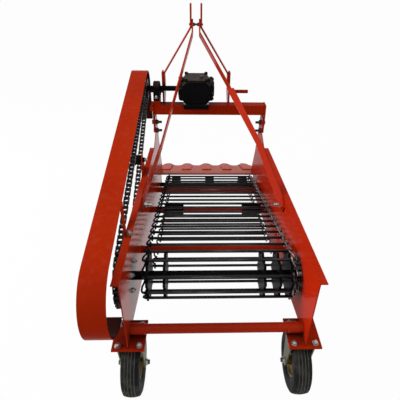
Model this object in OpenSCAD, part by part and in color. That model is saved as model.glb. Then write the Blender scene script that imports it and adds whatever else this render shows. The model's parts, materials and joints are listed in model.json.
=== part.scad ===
// Towed potato digger: a rod conveyor between two side plates, driven by a chain from a gearbox.
// Lengths are in millimetres. +Y points to the tractor, +X to the right, and Z is 0 on the ground.
// The sizes below are measured from the middle of the machine and the rear edge of the side plates.

/* [Side plates] */
// Clear width between the two side plates
inner_w = 664; // [600:2:740]
// Thickness of a side plate
plate_t = 4; // [3:0.5:6]
// Width of the flange bent outward along the top edge
flange_w = 28; // [18:1:32]
// Height of the top edge at the rear
top_rear_z = 632; // [615:1:660]
// Height of the top edge at the front end of the flange
top_front_z = 542; // [525:1:560]
// Length of the flange
flange_len = 1223; // [1160:1:1270]
// Height of the horn that is bolted to the beam
horn_z = 684; // [665:1:700]
// Width of the horn at its top
horn_w = 96; // [80:1:120]
// Distance of the plate's front point from the rear edge
nose_y = 1650; // [1620:1:1700]

/* [Cross members] */
// Side of the square cross beam
beam_w = 60; // [50:1:70]
// Distance of the beam's rear face from the rear edge of the plates
beam_y = 1341; // [1315:1:1365]
// Height of the beam's underside
beam_z = 707; // [704:1:740]
// Thickness of the legs that hang from the beam's ends
leg_t = 8; // [6:1:12]
// Diameter of the round tube across the rear
rear_tube_d = 38; // [30:1:48]
// Height of the rear tube's centre above the foot plates
rear_tube_rise = 34; // [30:1:60]
// Diameter of the tubes across the conveyor
cross_tube_d = 34; // [26:1:40]
// Distance of the rear cross tube from the rear edge
cross_rear_y = 465; // [420:1:520]
// Distance of the roller tube from the rear edge
cross_mid_y = 862; // [800:1:920]
// Distance of the front cross tube from the rear edge
cross_front_y = 1222; // [1160:1:1270]

/* [Casters] */
// Diameter of the wheels
wheel_d = 260; // [240:1:280]
// Width of the tyres
wheel_w = 72; // [60:1:80]
// Diameter of the rims
rim_d = 132; // [110:1:150]
// Diameter of the axle bolts
axle_d = 16; // [12:1:20]
// Height of the underside of the foot plates
caster_h = 296; // [284:1:315]
// Width of a foot plate
foot_w = 124; // [110:1:140]
// Length of a foot plate
foot_l = 140; // [120:1:160]
// Thickness of a foot plate
foot_t = 8; // [5:1:12]
// Distance of the wheel centres from the rear edge
foot_y = 62; // [55:1:80]
// Thickness of the fork's sheet
fork_t = 5; // [4:0.5:6]

/* [Blade] */
// Width of the blade outside a side plate's inner face
blade_side = 48; // [30:1:60]
// Thickness of the blade
blade_t = 10; // [8:1:14]
// Distance of the blade's rear edge from the rear edge of the plates
blade_y = 1534; // [1526:1:1545]
// Height of the blade's rear edge
blade_z = 189; // [180:1:200]
// Distance of the tips of the teeth from the rear edge of the plates
tip_y = 2040; // [1960:1:2060]
// Number of teeth
teeth = 5; // [3:1:5]
// Distance from tooth to tooth
tooth_pitch = 158; // [130:1:160]
// Length of a tooth
tooth_l = 95; // [70:1:120]

/* [Conveyor] */
// Distance of the drive shaft from the rear edge
drive_y = 230; // [215:1:245]
// Height of the drive shaft
drive_z = 454; // [440:1:465]
// Distance of the front idler from the rear edge
idler_y = 1440; // [1410:1:1445]
// Height of the front idler
idler_z = 152; // [146:1:164]
// Radius of the rods' path round the drive shaft
web_drive_r = 88; // [80:1:95]
// Radius of the rods' path round the front idler
web_idler_r = 60; // [50:1:64]
// Diameter of a rod
rod_d = 12; // [8:0.5:14]
// Distance from rod to rod
rod_pitch = 68; // [55:1:80]
// Gap between the rods and the left side plate
web_gap_left = 40; // [20:1:60]
// Gap between the rods and the right side plate
web_gap_right = 16; // [12:1:40]
// Width of the link chain at each end of the rods
link_w = 10; // [6:1:14]
// Height of the link chain
link_h = 8; // [6:1:10]
// Diameter of the drive shaft
shaft_d = 36; // [28:1:42]
// Diameter of the support rollers
roller_d = 54; // [46:1:60]
// Length of a support roller
roller_l = 104; // [80:1:120]

/* [Chain drive] */
// Pitch of the chain
chain_pitch = 25.4; // [19.05:0.05:25.4]
// Teeth of the driven sprocket
driven_teeth = 30; // [26:1:32]
// Teeth of the sprocket at the gearbox
driver_teeth = 11; // [10:1:14]
// Height of the chain's plates
chain_h = 18; // [14:1:22]
// Width of the chain over its plates
chain_w = 24; // [18:1:26]
// Distance of the chain's middle from a side plate's outer face
chain_off = 41; // [40:1:48]
// Diameter of the gearbox output shaft
out_d = 30; // [24:1:36]
// Distance of the tensioner from the rear edge
tension_y = 880; // [830:1:930]
// Diameter of the tensioner roller
tension_d = 50; // [40:1:56]

/* [Chain guard] */
// Width of the guard's strip
guard_w = 92; // [84:1:104]
// Thickness of the guard's strip
guard_t = 3; // [2:0.5:5]
// Radius of the guard at the rear
guard_rear_r = 156; // [148:1:168]
// Distance of the guard's rear centre from the rear edge of the plates
guard_rear_y = 65; // [55:1:85]
// Height of the guard's rear centre
guard_rear_z = 534; // [522:1:548]
// Radius of the guard at the front
guard_front_r = 97; // [84:1:106]
// Length of the guard's straight end at the front
guard_drop = 228; // [190:1:250]

/* [Hitch] */
// Distance of the hitch's middle to the left of the machine's middle
hitch_off = 80; // [60:1:100]
// Distance of the mast in front of the beam's rear face
mast_ahead = 72; // [66:1:90]
// Width of the mast's bars
mast_w = 45; // [36:1:55]
// Thickness of the mast's bars
mast_t = 10; // [8:1:12]
// Clear gap between the mast's ears
mast_gap = 48; // [40:1:60]
// Half of the distance between the inner faces of the two hitch brackets
foot_half = 193; // [180:1:205]
// Height of the mast's top
mast_top_z = 1309; // [1280:1:1340]
// Height of the upper bend
mast_bend_z = 1190; // [1170:1:1205]
// Height of the lower bend
mast_foot_z = 938; // [920:1:955]
// Height of the top-link hole below the mast's top
link_drop = 28; // [24:1:34]
// Diameter of the top-link hole
link_hole_d = 19.5; // [16:0.1:22]
// Thickness of the hitch brackets
bracket_t = 10; // [8:1:14]
// Diameter of the lower hitch pins
pin_d = 22; // [18:1:28]
// Free length of the lower hitch pins
pin_l = 125; // [100:1:130]
// Distance of the lower hitch pins in front of the beam's rear face
pin_ahead = 172; // [160:1:190]
// Height of the lower hitch pins
pin_z = 799; // [785:1:815]
// Thickness of the braces
brace_t = 8; // [6:1:10]
// Width of the braces
brace_w = 40; // [30:1:46]
// Distance of the braces' lower bolts from the rear edge
brace_end_y = 582; // [540:1:620]
// Height of the braces' lower bolts
brace_end_z = 548; // [530:1:560]
// Distance of the braces' bend from the rear edge
brace_bend_y = 890; // [850:1:950]
// Height of the braces' bend
brace_bend_z = 708; // [690:1:735]
// Distance of the braces' bend from the side plate's inner face
brace_bend_in = 74; // [50:1:90]

/* [Gearbox] */
// Width of the gearbox
gear_w = 178; // [160:1:196]
// Depth of the gearbox
gear_d = 170; // [150:1:190]
// Height of the gearbox
gear_h = 155; // [145:1:175]
// Height of the gearbox shafts above its foot
gear_axis = 78; // [72:1:84]
// Thickness of the gearbox foot
gear_foot_t = 14; // [10:1:18]
// Diameter of the power take-off stub
pto_d = 34.8; // [30:0.1:38]
// Length of the power take-off stub
pto_l = 72; // [60:1:90]

/* [Hidden] */
RED = [0.68, 0.13, 0.08];
BLACK = [0.08, 0.08, 0.08];
ZINC = [0.72, 0.70, 0.55];
STEEL = [0.62, 0.62, 0.60];
RUBBER = [0.16, 0.16, 0.17];
GOLD = [0.66, 0.52, 0.18];

// Clearances
round_gap = 0.15;
seat_gap = 0.3;
run_gap = 0.05;
wheel_gap = 7;
hub_gap = 1;

$fn = 64;

// Side plates
plate_x = inner_w / 2;
plate_out = plate_x + plate_t;
foot_top = caster_h + foot_t;
top_angle = atan2(top_front_z - top_rear_z, flange_len);
horn_y = beam_y + 8;
horn_lap = 95;
nose_z = 379;
nose_bend_y = beam_y + 190;
idler_room = 70;
foot_front = foot_y + foot_l / 2;
shaft_room = 1;

// Beam, gearbox and their axes
beam_top = beam_z + beam_w;
beam_mid = beam_y + beam_w / 2;
leg_out = plate_out + leg_t;
leg_edge = 4;
hitch_x = -hitch_off;
gear_z = beam_top + gear_foot_t;
axis_y = beam_mid;
axis_z = gear_z + gear_axis;
boss_l = 12;
boss_d = 92;
gear_cut = 32;
gear_margin = 7;
collar_in = 20;
collar_t = 14;
cover_d = 124;
cover_t = 5;
lug_d = 18;
lug_h = 15;

// Chain drive
chain_x = -(plate_out + chain_off);
sprocket_t = 10;
chain_in = chain_h / 2;
chain_side = 3;
roller_side = 12;
driven_r = chain_pitch * driven_teeth / (2 * PI);
driver_r = chain_pitch * driver_teeth / (2 * PI);
driven_c = [drive_y, drive_z];
driver_c = [axis_y, axis_z];
hub_d = 70;
hub_l = 16;

// Conveyor
idler_c = [idler_y, idler_z];
rod_r = rod_d / 2;
web_left = -plate_x + web_gap_left;
web_right = plate_x - web_gap_right;
rod_l = web_right - web_left;
web_x = (web_left + web_right) / 2;
sprocket_teeth = 8;
link_in = 3;
inner_disc = [85, 75, 135];
idler_d = 30;
idler_disc = 60;
idler_in = 70;

// Blade
blade_w = inner_w + 2 * blade_side;
blade_angle = atan2(blade_z, tip_y - blade_y);
blade_len = norm([blade_z, tip_y - blade_y]);
blade_back = blade_y - blade_t * sin(blade_angle) - 1;

// Casters
caster_x = plate_x + plate_t / 2;
wheel_r = wheel_d / 2;
fork_gap = wheel_w / 2 + wheel_gap;
fork_top = 6;
fork_half = 48;
fork_crown = 52;
fork_eye = 22;
rim_r = rim_d / 2;

// Guard
guard_in = chain_x + chain_w / 2 + 4;
guard_out = guard_in - guard_w;
guard_rear_c = [guard_rear_y, guard_rear_z];
guard_front_c = driver_c;
guard_tail = 20;

// Mast, bearing, tensioner and guard
mast_y = beam_y + mast_ahead;
pin_y = beam_y + pin_ahead;
foot_drop = 76;
brace_top_z = mast_bend_z + 14;
brace_lap = 6;
bearing_w = 38;
bearing_d = 84;
bearing_x = -plate_x;
bearing_foot = 124;
stand_h = 36;
bearing_t = 24;
flange_half = 58;
flange_cut = 18;
flange_t = 12;
bearing_house_d = 86;
tab_y = 300;
tab_w = 44;
roller_mid = 215;
tension_bolt_d = 14;
tension_nut_d = 24;
tension_z = run_z(tension_y) + over_run(tension_d / 2);
disc_turn = web_turn();

// The part's own origin lies on the ground, below the middle of its box
low_x = guard_out;
high_x = max(caster_x + foot_w / 2, blade_w / 2, plate_x + flange_w);
low_y = min(guard_rear_y - guard_rear_r - guard_t, foot_y - wheel_r);
high_y = tip_y;
mid_x = (low_x + high_x) / 2;
mid_y = (low_y + high_y) / 2;

// Height of a side plate's top edge at a distance y
function top_z(y) = top_rear_z + y * tan(top_angle);

// Height of the blade's upper face at a distance y
function blade_face(y) = blade_z - (y - blade_y) * tan(blade_angle);

// A loop round two circles: the direction of the line between them and the angle to its tangents
function loop_dir(c1, c2) = atan2(c2[1] - c1[1], c2[0] - c1[0]);
function loop_open(c1, r1, c2, r2) = acos((r1 - r2) / norm(c2 - c1));
function polar(r, a) = [r * cos(a), r * sin(a)];

// Length of one straight run of the loop, and of the whole loop
function run_len(c1, r1, c2, r2) = norm(c2 - c1) * sin(loop_open(c1, r1, c2, r2));
function arc_len(r, a) = r * a * PI / 180;
function loop_len(c1, r1, c2, r2) =
    2 * run_len(c1, r1, c2, r2)
    + arc_len(r2, 2 * loop_open(c1, r1, c2, r2))
    + arc_len(r1, 360 - 2 * loop_open(c1, r1, c2, r2));

// Point on the loop at a distance s along it, starting at the rear end of the upper run
function loop_at(s, c1, r1, c2, r2) =
    let (
        a = loop_dir(c1, c2),
        b = loop_open(c1, r1, c2, r2),
        run = run_len(c1, r1, c2, r2),
        front = arc_len(r2, 2 * b),
        up = [c1 + polar(r1, a + b), c2 + polar(r2, a + b)],
        low = [c2 + polar(r2, a - b), c1 + polar(r1, a - b)]
    )
    s < run ? up[0] + (up[1] - up[0]) * s / run
    : s < run + front ? c2 + polar(r2, a + b - (s - run) / r2 * 180 / PI)
    : s < 2 * run + front ? low[0] + (low[1] - low[0]) * (s - run - front) / run
    : c1 + polar(r1, a - b - (s - 2 * run - front) / r1 * 180 / PI);

// Height of the rods' upper run at a distance y
function web_z(y) =
    let (
        a = loop_dir(driven_c, idler_c),
        b = loop_open(driven_c, web_drive_r, idler_c, web_idler_r),
        p = driven_c + polar(web_drive_r, a + b),
        q = idler_c + polar(web_idler_r, a + b)
    )
    p[1] + (q[1] - p[1]) * (y - p[0]) / (q[0] - p[0]);

// Depth of a round piece's centre below the upper run, where the rods pass over it with a gap
function under_web(r) = (r + rod_r + seat_gap) / cos(loop_dir(driven_c, idler_c));

// Height of the chain's lower run at a distance y
function run_z(y) =
    let (
        a = loop_dir(driven_c, driver_c),
        b = loop_open(driven_c, driven_r, driver_c, driver_r),
        p = driven_c + polar(driven_r, a - b),
        q = driver_c + polar(driver_r, a - b)
    )
    p[1] + (q[1] - p[1]) * (y - p[0]) / (q[0] - p[0]);

// Height of a round piece's centre above the chain's lower run, where it bears on the chain
function over_run(r) =
    (r + chain_in + seat_gap)
    / sin(loop_open(driven_c, driven_r, driver_c, driver_r) - loop_dir(driven_c, driver_c));

// Height of the guard's upper face at a distance y along its straight top
function guard_z(y) =
    let (
        a = loop_dir(guard_rear_c, guard_front_c),
        b = loop_open(guard_rear_c, guard_rear_r, guard_front_c, guard_front_r),
        p = guard_rear_c + polar(guard_rear_r + guard_t, a + b),
        q = guard_front_c + polar(guard_front_r + guard_t, a + b)
    )
    p[1] + (q[1] - p[1]) * (y - p[0]) / (q[0] - p[0]);

// Turn of the drive discs that sets their teeth between the rods
function web_turn() =
    let (
        length = loop_len(driven_c, web_drive_r, idler_c, web_idler_r),
        rods = round(length / rod_pitch),
        c = loop_at(length - 2.5 * length / rods, driven_c, web_drive_r, idler_c, web_idler_r) - driven_c
    )
    atan2(c[1], c[0]);

// Moves a piece from the machine's own measures to the part's origin
module placed() {
    translate([-mid_x, -mid_y, 0]) children();
}

// A profile drawn in Y and Z, made t thick from x towards +X
module slab(x, t) {
    translate([x, 0, 0]) rotate([90, 0, 90]) linear_extrude(t) children();
}

// A round bar along X from x0 to x1
module bar(d, x0, x1, c) {
    translate([x0, c[0], c[1]]) rotate([0, 90, 0]) cylinder(d = d, h = x1 - x0);
}

// A solid with the outline of a loop round two circles, w wide from x towards +X
module loop_solid(x, w, c1, r1, c2, r2) {
    a = loop_dir(c1, c2);
    b = loop_open(c1, r1, c2, r2);
    bar(2 * r1, x, x + w, c1);
    bar(2 * r2, x, x + w, c2);
    slab(x, w) polygon([
        c1 + polar(r1, a + b), c2 + polar(r2, a + b),
        c2 + polar(r2, a - b), c1 + polar(r1, a - b)
    ]);
}

// Left pieces are mirror images of the right ones
module on_side(side) {
    mirror([side < 0 ? 1 : 0, 0, 0]) children();
}

// Side plates
module side_plate_shape() {
    polygon([
        [0, foot_top], [0, top_rear_z], [flange_len, top_front_z],
        [horn_y, horn_z - horn_lap], [horn_y, horn_z], [horn_y + horn_w, horn_z],
        [nose_bend_y, nose_z], [nose_y, blade_face(nose_y)],
        [blade_y, blade_z], [blade_back, blade_z], [blade_back, idler_z - idler_room],
        [idler_y, idler_z - idler_room], [foot_front, foot_top]
    ]);
}

module side_plate(side) {
    color(RED) placed() on_side(side) difference() {
        union() {
            slab(plate_x, plate_t) side_plate_shape();
            slab(plate_x + plate_t / 2, flange_w - plate_t / 2) polygon([
                [0, top_rear_z], [flange_len, top_front_z],
                [flange_len, top_front_z - plate_t], [0, top_rear_z - plate_t]
            ]);
        }
        bar(shaft_d + 2 * shaft_room, plate_x - 1, plate_out + 1, driven_c);
    }
}

module side_plate_left() { side_plate(-1); }
module side_plate_right() { side_plate(1); }

// Beam across the front, on two legs bolted to the horns
module cross_beam() {
    wall = 5;
    color(RED) placed() difference() {
        translate([-plate_out, beam_y, beam_z]) cube([2 * plate_out, beam_w, beam_w]);
        translate([-plate_out - 1, beam_y + wall, beam_z + wall])
            cube([2 * plate_out + 2, beam_w - 2 * wall, beam_w - 2 * wall]);
    }
}

module beam_leg(side) {
    color(RED) placed() on_side(side) slab(plate_out, leg_t) polygon([
        [beam_y - leg_edge, beam_top], [beam_y + beam_w + leg_edge, beam_top], [horn_y + horn_w, horn_z],
        [horn_y + horn_w, horn_z - horn_lap], [horn_y, horn_z - horn_lap], [beam_y - leg_edge, beam_z]
    ]);
}

module beam_leg_left() { beam_leg(-1); }
module beam_leg_right() { beam_leg(1); }

// Round tubes between the side plates
module plate_tube(d, c) {
    color(RED) placed() difference() {
        bar(d, -plate_x, plate_x, c);
        bar(d - 6, -plate_x - 1, plate_x + 1, c);
    }
}

module rear_tube() { plate_tube(rear_tube_d, [foot_y, foot_top + rear_tube_rise]); }
module cross_tube_rear() { plate_tube(cross_tube_d, [cross_rear_y, drive_z - cross_tube_d * 1.9]); }
module cross_tube_middle() {
    plate_tube(cross_tube_d, [cross_mid_y, web_z(cross_mid_y) - under_web(roller_d / 2)]);
}
module cross_tube_front() {
    plate_tube(cross_tube_d, [cross_front_y, web_z(cross_front_y) - under_web(cross_tube_d / 2) - 6]);
}

// Casters
module foot_plate(side) {
    color(RED) placed() on_side(side)
        translate([caster_x - foot_w / 2, foot_y - foot_l / 2, caster_h]) cube([foot_w, foot_l, foot_t]);
}

module caster_fork(side) {
    axle_c = [foot_y, wheel_r];
    color(ZINC) placed() on_side(side) difference() {
        union() {
            translate([caster_x - fork_gap - fork_t, foot_y - fork_crown, caster_h - fork_top])
                cube([2 * (fork_gap + fork_t), 2 * fork_crown, fork_top]);
            for (x = [-fork_gap - fork_t, fork_gap]) {
                slab(caster_x + x, fork_t) {
                    polygon([
                        [foot_y - fork_half, caster_h - fork_top], [foot_y + fork_half, caster_h - fork_top],
                        [foot_y + fork_eye, wheel_r], [foot_y - fork_eye, wheel_r]
                    ]);
                    translate(axle_c) circle(fork_eye);
                }
            }
        }
        bar(axle_d + 2 * round_gap, caster_x - 2 * fork_gap, caster_x + 2 * fork_gap, axle_c);
    }
}

module caster_axle(side) {
    axle_c = [foot_y, wheel_r];
    head = 8;
    side_x = fork_gap + fork_t;
    color(STEEL) placed() on_side(side) {
        bar(axle_d, caster_x - side_x - head, caster_x + side_x + head, axle_c);
        for (x = [-side_x - head, side_x]) bar(axle_d * 1.6, caster_x + x, caster_x + x + head, axle_c);
    }
}

// A profile of half-width and radius, turned about the wheel's axle
module turned(side) {
    on_side(side) translate([caster_x, foot_y, wheel_r]) rotate([0, 90, 0])
        rotate_extrude($fn = 96) children();
}

module tyre(side) {
    half = wheel_w / 2;
    bead = half * 0.72;
    wall = 24;
    tread = half * 0.66;
    color(RUBBER) placed() turned(side) polygon([
        [rim_r + round_gap, -bead], [wheel_r - 2 * wall, -half], [wheel_r - wall, -half], [wheel_r, -tread],
        [wheel_r, tread], [wheel_r - wall, half], [wheel_r - 2 * wall, half], [rim_r + round_gap, bead]
    ]);
}

module rim(side) {
    half = wheel_w / 2 * 0.72;
    hub_half = fork_gap - hub_gap;
    color(GOLD) placed() turned(side) {
        translate([axle_d / 2 + run_gap, -hub_half]) square([12, 2 * hub_half]);
        translate([axle_d / 2 + 10, -3]) square([rim_r - axle_d / 2 - 14, 6]);
        translate([rim_r - 6, -half]) square([6, 2 * half]);
    }
}

module foot_plate_left() { foot_plate(-1); }
module foot_plate_right() { foot_plate(1); }
module caster_fork_left() { caster_fork(-1); }
module caster_fork_right() { caster_fork(1); }
module caster_axle_left() { caster_axle(-1); }
module caster_axle_right() { caster_axle(1); }
module tyre_left() { tyre(-1); }
module tyre_right() { tyre(1); }
module rim_left() { rim(-1); }
module rim_right() { rim(1); }

// Digging blade: a sloping plate with pointed teeth, ground flat where the teeth touch the soil
// Each tooth is a row of points: share of the tooth's pitch across, share of its length forward
tooth_row = [[-0.38, 0], [-0.3, 0.3], [-0.12, 0.9], [0, 1], [0.12, 0.9], [0.3, 0.3], [0.38, 0]];

module blade_shape() {
    base = blade_len - tooth_l;
    polygon(concat(
        [[blade_w / 2, 0], [-blade_w / 2, 0], [-blade_w / 2, base]],
        [for (k = [0 : teeth - 1], p = tooth_row)
            [(k + 0.5 - teeth / 2 + p[0]) * tooth_pitch, base + p[1] * tooth_l]],
        [[blade_w / 2, base]]
    ));
}

module blade() {
    color(RED) placed() difference() {
        translate([0, blade_y, blade_z]) rotate([-blade_angle, 0, 0]) translate([0, 0, -blade_t])
            linear_extrude(blade_t) blade_shape();
        translate([-blade_w, blade_y, -blade_len]) cube([2 * blade_w, 2 * blade_len, blade_len]);
    }
}

// Mast: two bars with ears at the top, spread to the hitch brackets at the foot
module bar_piece(p, q, t, w) {
    hull() {
        for (e = [p, q]) translate([e[0] - t / 2, e[1] - w / 2, e[2]]) cube([t, w, 0.01]);
    }
}

module mast(side) {
    ear_x = mast_gap / 2 + mast_t / 2;
    foot_x = foot_half - mast_t / 2;
    color(RED) placed() translate([hitch_x, 0, 0]) on_side(side) difference() {
        union() {
            translate([ear_x - mast_t / 2, mast_y - mast_w / 2, mast_bend_z])
                cube([mast_t, mast_w, mast_top_z - mast_bend_z]);
            bar_piece([ear_x, mast_y, mast_bend_z], [foot_x, mast_y, mast_foot_z], mast_t, mast_w);
            translate([foot_x - mast_t / 2, mast_y - mast_w / 2, mast_foot_z - foot_drop])
                cube([mast_t, mast_w, foot_drop]);
        }
        bar(link_hole_d, ear_x - mast_t, ear_x + mast_t, [mast_y, mast_top_z - link_drop]);
    }
}

module mast_left() { mast(-1); }
module mast_right() { mast(1); }

// Bolt and spacer that hold the braces' tops between the ears
module mast_spacer() {
    half = mast_gap / 2 - brace_t;
    color(STEEL) placed() bar(20, hitch_x - half, hitch_x + half, [mast_y, brace_top_z]);
}

// Brace: a flat bar from the mast's ear back to a side plate, bent beside the plate
// One run of it is bolted flat at p, leaves that plane at q and goes on past r, with the rise a in side view
module brace_run(p, q, r, a) {
    along = [0, cos(a), sin(a)];
    tip = p - brace_w / 2 * sign((q - p) * along) * along;
    path = [for (e = [tip, q, r + brace_lap * (r - q) / norm(r - q)]) [e[0], (e - p) * along]];
    translate([0, p[1], p[2]]) rotate([a, 0, 0]) translate([0, 0, -brace_w / 2])
        linear_extrude(brace_w) polygon([
            for (e = path) e - [brace_t / 2, 0],
            for (k = [2 : -1 : 0]) path[k] + [brace_t / 2, 0]
        ]);
}

module brace(side) {
    top = [hitch_x + side * (mast_gap / 2 - brace_t / 2), mast_y, brace_top_z];
    bend = [side * (plate_x - brace_bend_in), brace_bend_y, brace_bend_z];
    end = [side * (plate_x - brace_t / 2), brace_end_y, brace_end_z];
    rise = atan2(top[2] - bend[2], top[1] - bend[1]);
    tail_rise = atan2(bend[2] - end[2], bend[1] - end[1]);
    leave = top - ((mast_w + brace_w) / 2 + 2) / cos(rise) * [0, cos(rise), sin(rise)];
    tail = end + brace_w * [0, cos(tail_rise), sin(tail_rise)];
    color(RED) placed() {
        brace_run(top, leave, bend, rise);
        brace_run(end, tail, bend, tail_rise);
    }
}

module brace_left() { brace(-1); }
module brace_right() { brace(1); }

// Hitch brackets on the beam, with a pin at each for the tractor's lower links
module hitch_bracket(side) {
    front = beam_y + beam_w;
    color(RED) placed() translate([hitch_x, 0, 0]) on_side(side) slab(foot_half, bracket_t) polygon([
        [front, beam_z], [pin_y + 10, pin_z - 30], [pin_y + 30, pin_z - 10], [pin_y + 30, pin_z + 20],
        [mast_y + mast_w / 2 + 8, mast_foot_z + 8], [mast_y - mast_w / 2, mast_foot_z + 8],
        [mast_y - mast_w / 2, beam_top], [front, beam_top]
    ]);
}

module hitch_pin(side) {
    start = foot_half + bracket_t;
    color(RED) placed() translate([hitch_x, 0, 0]) on_side(side) difference() {
        bar(pin_d, start, start + pin_l, [pin_y, pin_z]);
        translate([start + pin_l - 14, pin_y, pin_z - pin_d]) cylinder(d = 7, h = 2 * pin_d);
    }
}

module hitch_bracket_left() { hitch_bracket(-1); }
module hitch_bracket_right() { hitch_bracket(1); }
module hitch_pin_left() { hitch_pin(-1); }
module hitch_pin_right() { hitch_pin(1); }

// Gearbox: an eight-sided case with two collars, a cover and a boss for each shaft, and four lugs on top
// One section of it is drawn smaller by a margin, stands off its foot by a rise and runs from y0 to y1
module gear_section(margin, rise, y0, y1) {
    half = gear_w / 2 - margin;
    low = gear_z + rise;
    high = gear_z + gear_h - margin;
    translate([0, y1, 0]) rotate([90, 0, 0]) linear_extrude(y1 - y0) polygon([
        [-half + gear_cut, low], [half - gear_cut, low], [half, low + gear_cut], [half, high - gear_cut],
        [half - gear_cut, high], [-half + gear_cut, high], [-half, high - gear_cut], [-half, low + gear_cut]
    ]);
}

module gearbox() {
    half = gear_w / 2;
    back = axis_y - gear_d / 2;
    front = axis_y + gear_d / 2;
    lug_x = half - gear_cut - lug_d / 2 - gear_margin;
    color(BLACK) placed() translate([hitch_x, 0, 0]) {
        gear_section(gear_margin, 0, back, front);
        for (y = [back + collar_in, front - collar_in - collar_t]) gear_section(0, 3, y, y + collar_t);
        for (side = [-1, 1]) on_side(side) {
            bar(cover_d, half - gear_margin - 1, half + cover_t, driver_c);
            bar(boss_d, half, half + boss_l, driver_c);
        }
        translate([0, front - 1, axis_z]) rotate([-90, 0, 0]) cylinder(d = boss_d, h = boss_l + 1);
        for (x = [-lug_x, lug_x], y = [back + lug_d, front - lug_d])
            translate([x, y, gear_z + gear_h - gear_margin - 1]) cylinder(d = lug_d, h = lug_h);
    }
}

module gearbox_foot() {
    color(BLACK) placed() translate([hitch_x - gear_w * 0.4, beam_y - 12, beam_top])
        cube([gear_w * 0.8, beam_w + 24, gear_foot_t]);
}

module pto_stub() {
    color(STEEL) placed() translate([hitch_x, axis_y + gear_d / 2 + boss_l, axis_z]) rotate([-90, 0, 0])
        cylinder(d = pto_d, h = pto_l);
}

// Output shaft to the left, in a bearing on the beam
module output_shaft() {
    color(BLACK) placed() bar(out_d, chain_x - chain_w / 2 - 4, hitch_x - gear_w / 2 - boss_l, driver_c);
}

module bearing_stand() {
    color(RED) placed() translate([bearing_x, beam_y, beam_top]) cube([bearing_w, beam_w, stand_h]);
}

module shaft_bearing() {
    base = 14;
    foot_z = beam_top + stand_h;
    color(BLACK) placed() difference() {
        union() {
            translate([bearing_x, axis_y - bearing_foot / 2, foot_z]) cube([bearing_w, bearing_foot, base]);
            bar(bearing_d, bearing_x, bearing_x + bearing_w, driver_c);
            translate([bearing_x, axis_y - bearing_d / 2, foot_z])
                cube([bearing_w, bearing_d, axis_z - foot_z]);
        }
        bar(out_d + 2 * round_gap, bearing_x - 1, bearing_x + bearing_w + 1, driver_c);
    }
}

// Place of a chain pin, counted from the rear end of the upper run
function chain_len() = loop_len(driven_c, driven_r, driver_c, driver_r);
function chain_links() = 2 * round(chain_len() / chain_pitch / 2);
function chain_pin(k) = loop_at(k * chain_len() / chain_links(), driven_c, driven_r, driver_c, driver_r);

// Numbers of the pins nearest to the middle of the chain's arcs round the two sprockets
function driver_pin() =
    let (
        run = run_len(driven_c, driven_r, driver_c, driver_r),
        arc = arc_len(driver_r, 2 * loop_open(driven_c, driven_r, driver_c, driver_r))
    )
    round((run + arc / 2) * chain_links() / chain_len());
function driven_pin() =
    let (arc = arc_len(driven_r, 360 - 2 * loop_open(driven_c, driven_r, driver_c, driver_r)))
    round((chain_len() - arc / 2) * chain_links() / chain_len());

// Sprockets of the chain drive
// Each tooth is a row of points: share of the pitch along, distance from the pitch circle
tooth_top = 5;
tooth_root = roller_side * 0.75;
sprocket_row = [[0.3, -tooth_root], [0.42, tooth_top], [0.58, tooth_top], [0.7, -tooth_root]];

module chain_sprocket(c, r, teeth, pin, bore) {
    v = chain_pin(pin) - c;
    color(BLACK) placed() difference() {
        union() {
            slab(chain_x - sprocket_t / 2, sprocket_t) translate(c) rotate(atan2(v[1], v[0])) polygon([
                for (k = [0 : teeth - 1], p = sprocket_row) polar(r + p[1], (k + p[0]) * 360 / teeth)
            ]);
            bar(min(hub_d, 1.4 * r), chain_x - hub_l / 2, chain_x + hub_l / 2, c);
        }
        bar(bore + 2 * round_gap, chain_x - hub_l, chain_x + hub_l, c);
    }
}

module driver_sprocket() { chain_sprocket(driver_c, driver_r, driver_teeth, driver_pin(), out_d); }
module driven_sprocket() { chain_sprocket(driven_c, driven_r, driven_teeth, driven_pin(), shaft_d); }

// Drive chain: two rows of side plates joined by a roller at each pin
module chain_row(x) {
    pins = [for (k = [0 : chain_links() - 1]) chain_pin(k)];
    out = [for (k = [0 : len(pins) - 1])
        let (d = pins[(k + 1) % len(pins)] - pins[(k + len(pins) - 1) % len(pins)])
        [-d[1], d[0]] / norm(d) * chain_in];
    slab(x, chain_side) difference() {
        polygon(pins + out);
        polygon(pins - out);
    }
}

module drive_chain() {
    color(BLACK) placed() {
        for (x = [chain_x - chain_w / 2, chain_x + chain_w / 2 - chain_side]) chain_row(x);
        for (k = [0 : chain_links() - 1]) {
            v = chain_pin(k + 1) - chain_pin(k);
            translate([chain_x, chain_pin(k)[0], chain_pin(k)[1]]) rotate([atan2(v[1], v[0]), 0, 0])
                cube([chain_w - chain_side, roller_side, roller_side], center = true);
        }
    }
}

// Tensioner: a roller on the slack lower run, on a pointed bracket that stands on the flange
module tensioner_bracket() {
    face = -plate_x - flange_w;
    foot = 60;
    tip = 12;
    rise = 34;
    color(RED) placed() difference() {
        slab(face, plate_t) polygon([
            [tension_y - foot, top_z(tension_y - foot)], [tension_y + foot, top_z(tension_y + foot)],
            [tension_y + tip, tension_z + rise], [tension_y - tip, tension_z + rise]
        ]);
        bar(tension_bolt_d + 2 * round_gap, face - 1, face + plate_t + 1, [tension_y, tension_z]);
    }
}

module tensioner_roller() {
    face = -plate_x - flange_w;
    color(BLACK) placed() {
        bar(tension_bolt_d, chain_x, face + plate_t + tension_bolt_d, [tension_y, tension_z]);
        bar(tension_d, chain_x - chain_w / 2, face - 2, [tension_y, tension_z]);
        bar(tension_nut_d, face + plate_t + seat_gap, face + plate_t + 10, [tension_y, tension_z]);
    }
}

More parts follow.
